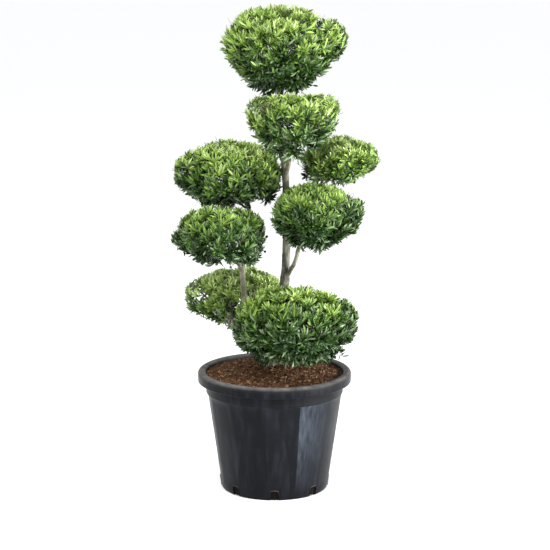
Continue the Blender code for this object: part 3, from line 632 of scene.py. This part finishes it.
def compostHeight(x, y):
    # flat under the trunk, a cosine slope to the wall, and low lumps from summed sines
    c = compost
    radius = np.hypot(x, y)
    share = np.clip((radius - c["seatRadius"]) / (c["edgeRadius"] - c["seatRadius"]), 0, 1)
    slope = c["edgeHeight"] + (c["topHeight"] - c["edgeHeight"]) * 0.5 * (1 + np.cos(math.pi * share))
    lumps = (np.sin(x * 150 + 1.3) * np.sin(y * 132 + 0.4) + 0.6 * np.sin(x * 310 - y * 190)
             + 0.5 * np.sin(x * 90 + y * 260 + 2.0) + 0.35 * np.sin(x * 640 + 1.1) * np.sin(y * 580))
    return slope + c["lump"] * 0.42 * lumps * np.clip(share * 8, 0.25, 1) * np.clip((1 - share) * 6, 0.2, 1)


def makeCompost():
    # a polar grid lifted to the height above, with a skirt down inside the pot and a flat floor; the skirt and floor
    # carry a near-black painted shade
    c = compost
    rng = np.random.default_rng(c["seed"])
    radius = c["edgeRadius"] * (np.arange(c["rings"] + 1) / c["rings"])
    angle = 2 * math.pi * np.arange(c["sides"]) / c["sides"]
    x = radius[:, None] * np.cos(angle)
    y = radius[:, None] * np.sin(angle)
    z = compostHeight(x, y) + rng.normal(0, 0.0005, x.shape) * (radius[:, None] > 0)
    top = np.stack([x, y, z], axis=-1)
    below = np.array([(0.1755, 0.262), (0.1715, 0.250), (wallRadius(0.003) - 0.0030, 0.0030), (0.0, 0.0030)])
    skirt = np.stack([below[:, :1] * np.cos(angle), below[:, :1] * np.sin(angle),
                      np.broadcast_to(below[:, 1:], (len(below), len(angle)))], axis=-1)
    verts = np.concatenate([top, skirt])
    faces = gridFaces(len(verts), c["sides"])
    # the skirt and floor faces get the near-black painted shade material
    buried = (np.arange(len(faces)) // c["sides"] > c["rings"]).astype(int)
    piece = addPiece("compostMound", verts, faces, [compostMaterial, shadeInsidePotMaterial], buried,
                     nodes=["compost"])
    tidyMesh(piece)
    return piece


def makeChips():
    # bark chips: a squashed eight-faced stone, each with its own size, turn and place on the mound
    c = compost
    rng = np.random.default_rng(c["seed"] + 1)
    n = c["chips"]
    radius = c["edgeRadius"] * 0.985 * np.sqrt(rng.uniform(0, 1, n))
    angle = rng.uniform(0, 2 * math.pi, n)
    x, y = radius * np.cos(angle), radius * np.sin(angle)
    size = c["chipSize"][0] + (c["chipSize"][1] - c["chipSize"][0]) * rng.uniform(0, 1, n) ** 3.2
    z = compostHeight(x, y) + size * 0.10
    corner = np.array([(1, 0, 0), (-1, 0, 0), (0, 1, 0), (0, -1, 0), (0, 0, 1), (0, 0, -1)], float)
    form = corner[None] * np.stack([size, size * rng.uniform(0.15, 0.45, n), size * rng.uniform(0.12, 0.30, n)], 1)[:, None]
    form = form * rng.uniform(0.7, 1.2, (n, 6, 1))
    ahead = unit(rng.normal(0, 1, (n, 3)) * np.array([1, 1, 0.45]))
    side = unit(np.cross(ahead, rng.normal(0, 1, (n, 3))))
    up = np.cross(ahead, side)
    verts = form[..., :1] * ahead[:, None] + form[..., 1:2] * side[:, None] + form[..., 2:] * up[:, None]
    verts = verts + np.stack([x, y, z], 1)[:, None]
    faces = np.array([(0, 2, 4), (2, 1, 4), (1, 3, 4), (3, 0, 4), (2, 0, 5), (1, 2, 5), (3, 1, 5), (0, 3, 5)])
    faces = (faces[None] + (np.arange(n) * 6)[:, None, None]).reshape(-1, 3)
    tones = np.repeat(rng.choice(4, n, p=[0.26, 0.40, 0.21, 0.13]), 8)
    return addPiece("barkChips", verts, faces, chipMaterials, tones, smooth=False)


makeCompost()
makeChips()
print("compost made")


# trunk and boughs

bark = {"ringStep": 0.0012, "sides": 36, "relief": 0.030, "knots": 9, "collar": 0.42, "collarLength": 0.010}


def makeLimb(name, seed):
    # ring radius r(a, s) = route radius x (1 + summed waves round and along + knots + collar at the foot)
    rng = np.random.default_rng(seed)
    route = smoothRoute(limbs[name], bark["ringStep"])
    path, radius = route[:, :3], route[:, 3]
    along = np.concatenate([[0], np.cumsum(np.linalg.norm(np.diff(path, axis=0), axis=1))])[:, None]
    angle = (2 * math.pi * np.arange(bark["sides"]) / bark["sides"])[None, :]
    relief = np.zeros((len(path), bark["sides"]))
    for waves, pitch, size in ((1, 55, 1.0), (2, 90, 0.8), (3, 160, 0.55), (5, 330, 0.35), (0, 420, 0.25), (7, 700, 0.2)):
        turn, drift = rng.uniform(0, 2 * math.pi, 2)
        sway = np.sin(along * pitch * 0.37 + drift)
        relief += size * np.sin(angle * waves + along * pitch + turn + sway)
    relief *= bark["relief"]
    length = along[-1, 0]
    for _ in range(max(1, round(bark["knots"] * length / 0.7))):
        spot, turn = rng.uniform(0.06, 0.97) * length, rng.uniform(0, 2 * math.pi)
        size, height = rng.uniform(0.0025, 0.0050), rng.uniform(0.12, 0.34)
        aside = (np.abs((angle - turn + math.pi) % (2 * math.pi) - math.pi)) * radius[:, None]
        relief += height * np.exp(-((along - spot) ** 2 + aside ** 2) / size ** 2)
    if name == "trunk":
        relief += 0.16 * np.exp(-along / 0.012) * np.cos(angle * 5 + 0.7)
        for other, spot in forkSpots().items():
            relief += 0.10 * np.exp(-((along - spot) / 0.014) ** 2)
    else:
        relief += bark["collar"] * np.exp(-(along / bark["collarLength"]) ** 2)
    rings = radius[:, None] * (1 + relief)
    tangent, side, up = pathFrames(path)
    verts = path[:, None] + rings[..., None] * (np.cos(angle)[..., None] * side[:, None]
                                                + np.sin(angle)[..., None] * up[:, None])
    capFoot, capTip = np.repeat(path[:1], bark["sides"], 0)[None], np.repeat(path[-1:], bark["sides"], 0)[None]
    verts = np.concatenate([capFoot, verts, capTip])
    piece = addPiece(name + "Bark", verts, gridFaces(len(verts), bark["sides"]),
                     [barkMaterial if name == "trunk" else boughMaterial],
                     nodes=[name])
    tidyMesh(piece)
    return piece


def forkSpots():
    # how far up the trunk each bough that leaves it starts
    route = smoothRoute(limbs["trunk"], bark["ringStep"])[:, :3]
    along = np.concatenate([[0], np.cumsum(np.linalg.norm(np.diff(route, axis=0), axis=1))])
    spots = {}
    for other, points in limbs.items():
        gap = np.linalg.norm(route - np.array(points[0][:3]), axis=1)
        if other != "trunk" and gap.min() < 0.01:
            spots[other] = along[np.argmin(gap)]
    return spots


for seed, name in enumerate(limbs, start=40):
    makeLimb(name, seed)
print("trunk and boughs made")


# foliage, grown by the solids' branching rule and carried to finer twigs

growth = {
    # share of the pad's reach, how many twigs, radius at the foot and at the tip
    "rounds": [(0.42, 9, 0.0034, 0.0024), (0.64, 38, 0.0021, 0.0014)],
    "sprayShare": 0.80, "sprayRadii": (0.0013, 0.0009), "shootRadii": (0.0008, 0.0005),
    "shootLength": (0.026, 0.050), "fan": (8.0, 48.0), "reach": (0.82, 1.00),
    "twigSteps": 4, "lift": 0.4, "padGap": 0.05, "longShoots": 0.20, 
    "forks": 3, "forkShare": 0.52, "forkRise": 0.15, "forkBack": 0.034, "bareFork": 0.038, "bareLimb": 0.016,
}
leaf = {
    "length": 0.0250, "width": 0.0048, "fold": 0.24, "curl": 0.10, "perShoot": 15, "perSpray": 8, "perTwig": 6, "perFootShoot": 12,
    "spread": (62.0, 15.0), "lift": (0.36, -0.12), "broadBelow": 0.40,
}


def lobeField(points, lobe):
    # below 1 inside: (reach^n + level^n)^(1/n), n for the dome above and for the skirt below
    x, y, z, rx, ry, up, down, dome, skirt = lobe
    rise = points[..., 2] - z
    level = np.abs(rise) / np.where(rise > 0, up, down)
    reach = np.hypot((points[..., 0] - x) / rx, (points[..., 1] - y) / ry)
    power = np.where(rise > 0, dome, skirt)
    return (reach ** power + level ** power) ** (1 / power)


def cloudField(points, lobes):
    return np.min([lobeField(points, lobe) for lobe in lobes], axis=0)


def lobeSurface(lobe, directions, share):
    # a direction scaled by the lobe's sizes, drawn in until the field equals the share
    x, y, z, rx, ry, up, down = lobe[:7]
    high = np.where(directions[:, 2] > 0, up, down)
    ahead = directions * np.stack([np.full(len(high), rx), np.full(len(high), ry), high], axis=1)
    centre = np.array([x, y, z])
    return centre + ahead * (share / lobeField(centre + ahead, lobe))[:, None]


def shellTargets(lobes, share, count, rng):
    # golden-angle spiral of points on each lobe's shell, jittered, less those inside another lobe
    sizes = np.array([lobe[3] * lobe[4] for lobe in lobes])
    found = []
    for lobe, part in zip(lobes, sizes / sizes.sum()):
        number = max(3, round(count * part))
        index = np.arange(number) + 0.5
        height = 1 - 2 * index / number
        turn = index * goldenAngle + rng.uniform(0, 2 * math.pi)
        ring = np.sqrt(1 - height ** 2)
        directions = np.stack([ring * np.cos(turn), ring * np.sin(turn), height], axis=1)
        directions = unit(directions + rng.normal(0, 0.35 / math.sqrt(number), directions.shape))
        points = lobeSurface(lobe, directions, share)
        others = [other for other in lobes if other is not lobe]
        if others:
            points = points[cloudField(points, others) > share]
        found.append(points)
    return np.vstack(found)


padLobes = {name: [(*lobe, pad["dome"], pad["skirt"]) for lobe in pad["lobes"]] for name, pad in clouds.items()}
limbRoutes = {name: smoothRoute(points, 0.02) for name, points in limbs.items()}


def limbClearance(points):
    # smallest distance from each point to the side of any limb, limb by limb on its straight stretches
    flat = points.reshape(-1, 3)
    nearest = np.full(len(flat), 9.0)
    low, high = flat.min(0) - 0.03, flat.max(0) + 0.03
    for route in limbRoutes.values():
        start, step = route[:-1], np.diff(route, axis=0)
        near = np.all((np.maximum(start, route[1:])[:, :3] > low) & (np.minimum(start, route[1:])[:, :3] < high), axis=1)
        for a, d in zip(start[near], step[near]):
            t = np.clip((flat - a[:3]) @ d[:3] / (d[:3] @ d[:3]), 0, 1)
            gap = np.linalg.norm(flat - a[:3] - t[:, None] * d[:3], axis=1) - a[3] - t * d[3]
            nearest = np.minimum(nearest, gap)
    return nearest.reshape(points.shape[:-1])


def bowed(start, bend, end, t):
    # quadratic curve (1-t)^2 start + 2t(1-t) bend + t^2 end, and its direction
    a, b, c = start[:, None], bend[:, None], end[:, None]
    t = np.broadcast_to(t, (len(start), t.shape[-1]))[..., None]
    return (1 - t) ** 2 * a + 2 * t * (1 - t) * b + t ** 2 * c, unit(2 * (1 - t) * (b - a) + 2 * t * (c - b))


def ownGround(points, name):
    # true where a pad's own field is lower than every other pad's, so that pads stay apart
    own = cloudField(points, padLobes[name])
    free = np.ones(own.shape, bool)
    for other, lobes in padLobes.items():
        if other != name:
            free &= cloudField(points, lobes) > own + growth["padGap"]
    return own, free


def growWood(name, rng):
    # branching rule: a stem runs from the limb's tip to the hub; each round's twigs leave the
    # nearest wood that lies further in and bend out to their targets on a wider shell; each
    # spray's end then fans into leafy shoots that stop at the spray's own share of the reach
    cloud, lobes = clouds[name], padLobes[name]
    tip = np.array(limbs[cloud["limb"]][-1])
    route = smoothRoute(limbs[cloud["limb"]], 0.005)
    heading = unit((route[-1] - route[-2])[:3])
    foot = tip[:3]
    centre = np.array(lobes[0][:3])
    hub = centre + (foot - centre) * 0.25
    bend = foot + heading * np.linalg.norm(hub - foot) * 0.45
    line, lead = bowed(foot[None], bend[None], hub[None], np.linspace(0, 1, 9))
    count = growth["forks"]
    turn = 2 * math.pi * np.arange(count) / count + rng.uniform(-0.4, 0.4, count) + cloud.get("forkTurn", 0.0)
    level = np.sqrt(1 - growth["forkRise"] ** 2)
    spread = np.stack([level * np.cos(turn), level * np.sin(turn), np.full(count, growth["forkRise"])], axis=1)
    ends = lobeSurface(lobes[0], spread, growth["forkShare"])
    feet = np.repeat(route[-1 - round(growth["forkBack"] / 0.005)][None, :3], count, axis=0)
    elbows = feet + heading * np.linalg.norm(ends - feet, axis=1)[:, None] * 0.30
    forkLine, forkLead = bowed(feet, elbows, ends, np.linspace(0, 1, 9))
    rounds = [dict(start=np.vstack([foot[None], feet]), bend=np.vstack([bend[None], elbows]),
                   end=np.vstack([hub[None], ends]), radii=(tip[3] * 0.94, tip[3] * 0.45))]
    nodes = np.vstack([line[0, 1:], forkLine[:, 4:].reshape(-1, 3)])
    leads = np.vstack([lead[0, 1:], forkLead[:, 4:].reshape(-1, 3)])
    t = np.linspace(0, 1, growth["twigSteps"] + 1)
    share, radii = growth["sprayShare"], growth["sprayRadii"]
    for share, count, thick, thin in growth["rounds"] + [(share, cloud["sprays"], *radii)]:
        target = shellTargets(lobes, share, count, rng)
        gap = np.linalg.norm(target[:, None] - nodes[None], axis=2)
        gap = gap + growth["lift"] * np.maximum(0, nodes[None, :, 2] - target[:, None, 2])
        best = np.argmin(gap, axis=1)
        start = nodes[best]
        go = unit(leads[best] + 0.8 * unit(target - start))
        bend = start + go * np.linalg.norm(target - start, axis=1)[:, None] * 0.45
        line, lead = bowed(start, bend, target, t)
        own, free = ownGround(line, name)
        free = np.all(free & (own < 1.02) & (limbClearance(line) > thick + padShape["limbMargin"]), axis=1)
        rounds.append(dict(start=start[free], bend=bend[free], end=target[free], radii=(thick, thin)))
        nodes = np.vstack([nodes, line[free][:, 2:].reshape(-1, 3)])
        leads = np.vstack([leads, lead[free][:, 2:].reshape(-1, 3)])
    rounds.append(growShoots(name, rounds[-1], rng))
    if "footShoots" in cloud:
        rounds.append(growFootShoots(cloud["footShoots"], lobes[0], rng))
    return rounds


def growFootShoots(count, lobe, rng):
    # thin stems that rise from the compost in a ring round the trunk's front and lean into the low pad
    foot = np.array(limbs["trunk"][0][:3])
    turn = rng.uniform(-2.7, -0.9, count)
    start = foot + np.stack([np.cos(turn), np.sin(turn), 0 * turn], axis=1) * rng.uniform(0.026, 0.040, (count, 1))
    start[:, 2] = compostHeight(start[:, 0], start[:, 1]) - 0.004
    end = start + np.stack([rng.uniform(-0.018, 0.022, count), rng.uniform(-0.045, -0.015, count),
                            rng.uniform(0.040, 0.062, count)], axis=1)
    bend = start + np.stack([0 * turn, 0 * turn, np.full(count, 0.022)], axis=1)
    return dict(start=start, bend=bend, end=end, radii=(0.0017, 0.0009))


def growShoots(name, sprays, rng):
    # k shoots leave each spray's outer half; shoot j leans by the fan's angle, turned by the golden
    # angle; its length is cut where the field along it, taken as linear, meets the spray's reach
    cloud, lobes = clouds[name], padLobes[name]
    n, k = len(sprays["end"]), cloud["shoots"]
    order = np.broadcast_to(np.arange(k)[None], (n, k))
    t = 1.0 - 0.55 * order / k * rng.uniform(0.7, 1.2, (n, k))
    start, axis = bowed(sprays["start"], sprays["bend"], sprays["end"], t)
    centre = np.array(lobes[0][:3]) - np.array([0, 0, 0.35 * lobes[0][6]])
    outward = unit(sprays["end"] - centre)
    upright = np.where(sprays["end"][:, 2] > lobes[0][2], 0.42, 0.02)
    axis = unit(axis * 0.45 + outward[:, None] * 0.70 + upright[:, None, None] * np.array([0.0, 0.0, 1.0]))
    side = unit(np.cross(axis, rng.normal(0, 1, (n, 1, 3))))
    other = np.cross(axis, side)
    lean = np.radians(growth["fan"][0] + (growth["fan"][1] - growth["fan"][0]) * order / k * rng.uniform(0.6, 1.3, (n, k)))
    turn = order * goldenAngle
    ahead = axis * np.cos(lean)[..., None]
    ahead = ahead + (side * np.cos(turn)[..., None] + other * np.sin(turn)[..., None]) * np.sin(lean)[..., None]
    ahead = unit(ahead + np.array([0.0, 0.0, 0.15]))
    length = rng.uniform(*growth["shootLength"], (n, k)) * rng.uniform(0.85, 1.15, (n, 1)) * cloud.get("longer", 1.0)
    end = start + ahead * length[..., None]
    reach = rng.uniform(*growth["reach"], (n, 1)) * rng.uniform(0.95, 1.03, (n, k))
    below = np.clip((lobes[0][2] - sprays["end"][:, 2:]) / lobes[0][6], 0, 1)
    reach = reach + np.where(rng.uniform(0, 1, (n, k)) < growth["longShoots"], 0.08 + 0.12 * below, 0.0)
    reach = reach + np.where(rng.uniform(0, 1, (n, k)) < cloud["stray"], 0.14, 0.0)
    inner, outer = cloudField(start, lobes), cloudField(end, lobes)
    cut = np.clip((reach - inner) / np.maximum(outer - inner, 1e-4), 0.25, 1.0)
    length = np.where(outer > reach, length * cut, length)
    end = start + ahead * length[..., None]
    bend = start + unit(ahead * 1.0 + axis * 0.5) * length[..., None] * 0.45
    spray = np.broadcast_to(np.arange(n)[:, None], (n, k))
    start, bend, end, spray = (item.reshape((n * k,) + item.shape[2:]) for item in (start, bend, end, spray))
    line, _ = bowed(start, bend, end, np.linspace(0, 1, 4))
    own, free = ownGround(line, name)
    sink = np.clip((lobes[0][2] - end[:, 2]) / lobes[0][6], 0, 1)
    gone = (rng.uniform(0, 1, n)[spray] < cloud["gaps"] * sink)
    gone |= (sink > 0) & (rng.uniform(0, 1, n * k) < cloud["gaps"])
    keep = np.all(free & (own < 1.22), axis=1) & np.all(limbClearance(line) > 0.002, axis=1) & ~gone
    return dict(start=start[keep], bend=bend[keep], end=end[keep], radii=growth["shootRadii"], spray=spray[keep])


# one leaf: (u along, v across) of its points, half width at each u, and its twelve faces
leafU = np.array([0, 0.24, 0.52, 0.80, 1, 0.24, 0.52, 0.80, 0.24, 0.52, 0.80])
leafV = np.array([0, 0, 0, 0, 0, -0.74, -1, -0.68, 0.74, 1, 0.68])
leafFaces = np.array([
    (0, 5, 1), (1, 5, 6), (1, 6, 2), (2, 6, 7), (2, 7, 3), (3, 7, 4),
    (0, 1, 8), (1, 9, 8), (1, 2, 9), (2, 10, 9), (2, 3, 10), (3, 4, 10)])


def leafBlades(root, ahead, face, length, width, fold, curl):
    # point (u, v) = root + ahead u length + side v width / 2 + face (fold |v| width / 2 - curl u^2 length)
    side = np.cross(face, ahead)
    along = leafU[None, :, None] * (ahead * length[:, None])[:, None]
    across = leafV[None, :, None] * (side * width[:, None] * 0.5)[:, None]
    lift = fold[:, None] * np.abs(leafV) * width[:, None] * 0.5 - curl[:, None] * leafU ** 2 * length[:, None]
    verts = root[:, None] + along + across + lift[..., None] * face[:, None]
    faces = leafFaces[None] + (np.arange(len(root)) * len(leafU))[:, None, None]
    return verts, faces.reshape(-1, 3)


def dressShoots(wood, count, first, lobe, rng):
    # leaves set round each shoot by the golden angle, spread wide at its foot and closing to its tip
    n = len(wood["start"])
    age = np.broadcast_to(np.linspace(0, 1, count)[None], (n, count))
    t = np.clip(first + (1 - first) * age + rng.normal(0, 0.012, (n, count)), 0, 1)
    place, axis = bowed(wood["start"], wood["bend"], wood["end"], t)
    turn = np.arange(count)[None] * goldenAngle + rng.uniform(0, 2 * math.pi, (n, 1)) + rng.normal(0, 0.25, (n, count))
    wide, close = leaf["spread"]
    spread = np.radians(wide + (close - wide) * age) + rng.normal(0, 0.16, (n, count))
    guide = np.where(np.abs(axis[..., 2:]) < 0.8, np.array([0.0, 0.0, 1.0]), np.array([1.0, 0.0, 0.0]))
    side = unit(np.cross(guide, axis))
    radial = side * np.cos(turn)[..., None] + np.cross(axis, side) * np.sin(turn)[..., None]
    ahead = axis * np.cos(spread)[..., None] + radial * np.sin(spread)[..., None]
    sink = np.clip((lobe[2] - place[..., 2:]) / lobe[6], 0, 1)
    lift = leaf["lift"][0] + (leaf["lift"][1] - leaf["lift"][0]) * sink
    ahead = unit(ahead + lift * np.array([0.0, 0.0, 1.0]))
    face = axis - ahead * np.sum(axis * ahead, axis=-1, keepdims=True)
    face = unit(unit(face) + np.array([0.0, 0.0, 0.35]) + rng.normal(0, 0.15, axis.shape))
    face = unit(face - ahead * np.sum(face * ahead, axis=-1, keepdims=True))
    length = leaf["length"] * (0.70 + 0.30 * np.sin(math.pi * (0.2 + 0.7 * (1 - age)))) * rng.uniform(0.78, 1.18, (n, count))
    spray = np.broadcast_to(wood.get("spray", np.arange(n))[:, None], (n, count))
    return [np.reshape(item, (n * count,) + item.shape[2:]) for item in (place, ahead, face, length, age, spray)]


def makeCloud(name):
    cloud, lobes = clouds[name], padLobes[name]
    rng = np.random.default_rng(cloud["seed"])
    rounds = growWood(name, rng)
    t = np.linspace(0, 1, growth["twigSteps"] + 1)
    woodVerts, woodFaces, woodTones, total = [], [], [], 0
    for level, wood in enumerate(rounds):
        line, _ = bowed(wood["start"], wood["bend"], wood["end"], np.linspace(0, 1, 10) if level == 0 else t)
        radii = np.broadcast_to(np.linspace(*wood["radii"], line.shape[1]), line.shape[:2]).copy()
        if level > 0:
            radii[:, -1] *= 0.2
        verts, faces = tubes(line, radii, 12 if level == 0 else 6 if level == 1 else 3)
        woodVerts.append(verts)
        woodFaces.append(faces + total)
        woodTones.append(np.full(len(faces), (2, 2, 0, 0, 1, 2)[level]))
        total += len(verts)
    addPiece(name + "Twigs", np.vstack(woodVerts), np.vstack(woodFaces), twigMaterials + [boughMaterial],
             np.concatenate(woodTones))

    # leaves of the shoots, of the sprays that carry them, and of the twigs inside
    dressed = [dressShoots(rounds[4], leaf["perShoot"], 0.12, lobes[0], rng),
               dressShoots(rounds[3], leaf["perSpray"], 0.30, lobes[0], rng),
               dressShoots(rounds[2], leaf["perTwig"], 0.40, lobes[0], rng)]
    sprays = len(rounds[3]["start"])
    dressed[2][5] = dressed[2][5] + sprays
    dressed += [dressShoots(wood, leaf["perFootShoot"], 0.35, lobes[0], rng) for wood in rounds[5:]]
    depthRank = np.concatenate([np.full(len(part[0]), rank) for rank, part in enumerate(dressed)])
    root, ahead, face, length, age, spray = (np.concatenate([part[i] for part in dressed]) for i in range(6))

    samples = root[:, None] + ahead[:, None] * (length[:, None] * np.array([0.35, 0.7, 1.0]))[..., None]
    own, free = ownGround(samples, name)
    limit = rng.uniform(*padShape["leafReach"], spray.max() + 1)[spray] + rng.normal(0, 0.02, len(root))
    limit = np.maximum(limit, cloudField(root, lobes) + padShape["pastShoot"])
    low = depthRank == 3
    sink = np.clip((lobes[0][2] - root[:, 2]) / lobes[0][6], 0, 1)
    limit = limit + 0.07 * sink
    keep = np.all((free & (own < limit[:, None])) | low[:, None], axis=1)
    nearTip = np.linalg.norm(root - np.array(limbs[cloud["limb"]][-1][:3]), axis=1) < growth["bareFork"]
    bare = np.where(nearTip, 0.85, np.where(limbClearance(root) < growth["bareLimb"], 0.6, 0.0))
    keep &= (sink < 0.45) | (depthRank == 3) | (rng.uniform(0, 1, len(root)) > bare)
    keep &= np.all(limbClearance(samples) > padShape["limbMargin"] + 0.001, axis=1)
    keep &= (depthRank < 1) | low | (rng.uniform(0, 1, len(root)) > sink ** 0.5 * cloud["gaps"] * depthRank)
    root, ahead, face, length, age, spray, depthRank = (
        item[keep] for item in (root, ahead, face, length, age, spray, depthRank))

    n = len(root)
    sink = np.clip((lobes[0][2] - root[:, 2]) / lobes[0][6], 0, 1)
    width = leaf["width"] * (1 + leaf["broadBelow"] * sink) * (length / leaf["length"]) ** 0.7 * rng.uniform(0.85, 1.15, n)
    fold = leaf["fold"] + rng.normal(0, 0.08, n)
    curl = leaf["curl"] + rng.normal(0, 0.08, n)
    verts, faces = leafBlades(root, ahead, face, length, width, fold, curl)

    low = lobes[0][2] - lobes[0][6]
    high = lobes[0][2] + lobes[0][5]
    rise = np.clip((root[:, 2] - low) / (high - low), 0, 1)
    depth = cloudField(root, lobes)
    sprayTone = rng.normal(0, 0.085, spray.max() + 1)[spray]
    depthRank = depthRank % 3
    # tone score: brighter up the pad and near its outer skin, darker deep inside and on inner twigs; partly new growth
    # and older inner leaves, partly painted light on the tops and painted shade inside; then newer tips, a random tone
    # per spray and the pad's painted light
    score = (-0.15 + 0.97 * rise ** 1.25 + 0.9 * (depth - 0.82) * (0.4 + 0.6 * rise) + 0.26 * (age - 0.5)
             - 0.13 * depthRank + sprayTone + cloud["light"] + rng.normal(0, 0.06, n))
    tone = np.clip((score * 6).astype(int), 0, 5)
    bronze = (rng.uniform(0, 1, spray.max() + 1) < cloud["bronze"])[spray] & (rise > 0.45)
    tone = np.where(bronze & (depthRank == 0), 6, tone)
    tone = np.where(rng.uniform(0, 1, n) < 0.20 - 0.17 * rise, 7, tone)
    addPiece(name + "Leaves", verts, faces, leafMaterials, np.repeat(tone, len(leafFaces)),
             nodes=[name])
    return n


leafTotal = 0
for name in clouds:
    leafTotal += makeCloud(name)
print("foliage made:", leafTotal, "leaves")


# berries

berries = {
    "radius": 0.0036, "perCloud": 3, "share": 1.0, "stalk": 0.013, "stalkRadius": 0.0005, "seed": 77,
    # berries seen against the light at the pads' edges: their places
    "hung": [(-0.0195, -0.085, 0.680), (-0.0240, -0.088, 0.642), (-0.1830, -0.100, 0.619)],
}


def makeBerries():
    # balls of rings and sides at the ends of stalks that run out from inside the pads' lower fronts
    rng = np.random.default_rng(berries["seed"])
    spots, inward = [], []
    for lobes in padLobes.values():
        turn = rng.uniform(-math.pi, 0, berries["perCloud"])
        drop = rng.uniform(-0.97, -0.60, berries["perCloud"])
        ring = np.sqrt(1 - drop ** 2)
        directions = np.stack([ring * np.cos(turn), ring * np.sin(turn), drop], axis=1)
        spots.append(lobeSurface(lobes[0], directions, berries["share"]))
    spots.append(np.array(berries["hung"]))
    spots = np.vstack(spots)
    spots = spots[limbClearance(spots) > 0.006]
    middles = np.array([lobes[0][:3] for lobes in padLobes.values()])
    nearest = middles[np.argmin([np.where(cloudField(spots, lobes) < 1.2, cloudField(spots, lobes), 9.0)
                                 for lobes in padLobes.values()], axis=0)]
    foot = spots + unit(nearest - spots) * berries["stalk"]
    stalks, stalkFaces = tubes(np.linspace(foot, spots, 3, axis=1), np.full((len(spots), 3), berries["stalkRadius"]), 3)
    tilt = math.pi * np.arange(7) / 6
    turn = 2 * math.pi * np.arange(8) / 8
    ball = np.stack([np.sin(tilt)[:, None] * np.cos(turn), np.sin(tilt)[:, None] * np.sin(turn),
                     np.broadcast_to(np.cos(tilt)[:, None], (7, 8))], axis=-1).reshape(-1, 3)
    size = berries["radius"] * rng.uniform(0.85, 1.15, (len(spots), 1, 1))
    verts = (spots[:, None] + ball[None] * size).reshape(-1, 3)
    faces = (gridFaces(7, 8)[None, :, ::-1] + (np.arange(len(spots)) * 56)[:, None, None]).reshape(-1, 4)
    tones = np.concatenate([np.zeros(len(faces)), np.ones(len(stalkFaces))])
    piece = addPiece("berries", np.vstack([verts, stalks]), np.vstack([faces, stalkFaces + len(verts)]),
                     [berryMaterial, twigMaterials[1]], tones)
    tidyMesh(piece)


makeBerries()
print("berries made")


# floor, light and camera

stage = {"floorSize": 400.0, "floorColor": (0.95, 0.95, 0.95), "sky": (0.985, 0.99, 1.0), "skyStrength": 1.04}
lights = {
    "above": dict(place=(-0.7, -1.5, 3.4), aim=(0, 0, 0.75), size=(2.4, 2.4), power=120),
    "right": dict(place=(2.6, -1.1, 0.75), aim=(0, 0, 0.2), size=(0.7, 1.4), power=150),
}
view = {"side": 0.0013, "height": 1.505, "distance": 4.70, "tiltDown": 11.32, "lens": 121.4, "sensor": 36.0}


def makeStage():
    size = stage["floorSize"] / 2
    mesh = bpy.data.meshes.new("paleFloor")
    mesh.from_pydata([(-size, -size, 0), (size, -size, 0), (size, size, 0), (-size, size, 0)], [], [(0, 1, 2, 3)])
    mesh.materials.append(plainMaterial("paleFloor", stage["floorColor"], 0.85))
    floor = bpy.data.objects.new("paleFloor", mesh)
    bpy.context.scene.collection.objects.link(floor)
    world = bpy.data.worlds.new("softSky")
    world.use_nodes = True
    ground = world.node_tree.nodes["Background"]
    ground.inputs["Color"].default_value = (*stage["sky"], 1.0)
    ground.inputs["Strength"].default_value = stage["skyStrength"]
    bpy.context.scene.world = world


def aimed(obj, place, aim):
    # stands at place and looks at aim with its -Z axis
    obj.location = place
    obj.rotation_euler = (Vector(aim) - Vector(place)).to_track_quat("-Z", "Y").to_euler()


def makeLights():
    for name, opts in lights.items():
        lamp = bpy.data.lights.new(name + "Softbox", "AREA")
        lamp.shape = "RECTANGLE"
        lamp.size, lamp.size_y = opts["size"]
        lamp.energy = opts["power"]
        obj = bpy.data.objects.new(name + "Softbox", lamp)
        obj.visible_camera = False
        bpy.context.scene.collection.objects.link(obj)
        aimed(obj, opts["place"], opts["aim"])


def makeCamera():
    camera = bpy.data.cameras.new("frontView")
    camera.lens = view["lens"]
    camera.sensor_width = view["sensor"]
    camera.clip_end = 600.0
    obj = bpy.data.objects.new("frontView", camera)
    obj.location = (view["side"], -view["distance"], view["height"])
    obj.rotation_euler = (math.radians(90.0 - view["tiltDown"]), 0.0, 0.0)
    bpy.context.scene.collection.objects.link(obj)
    bpy.context.scene.camera = obj


makeStage()
makeLights()
makeCamera()
bpy.context.scene.view_settings.view_transform = "Standard"
print("stage, light and camera set")
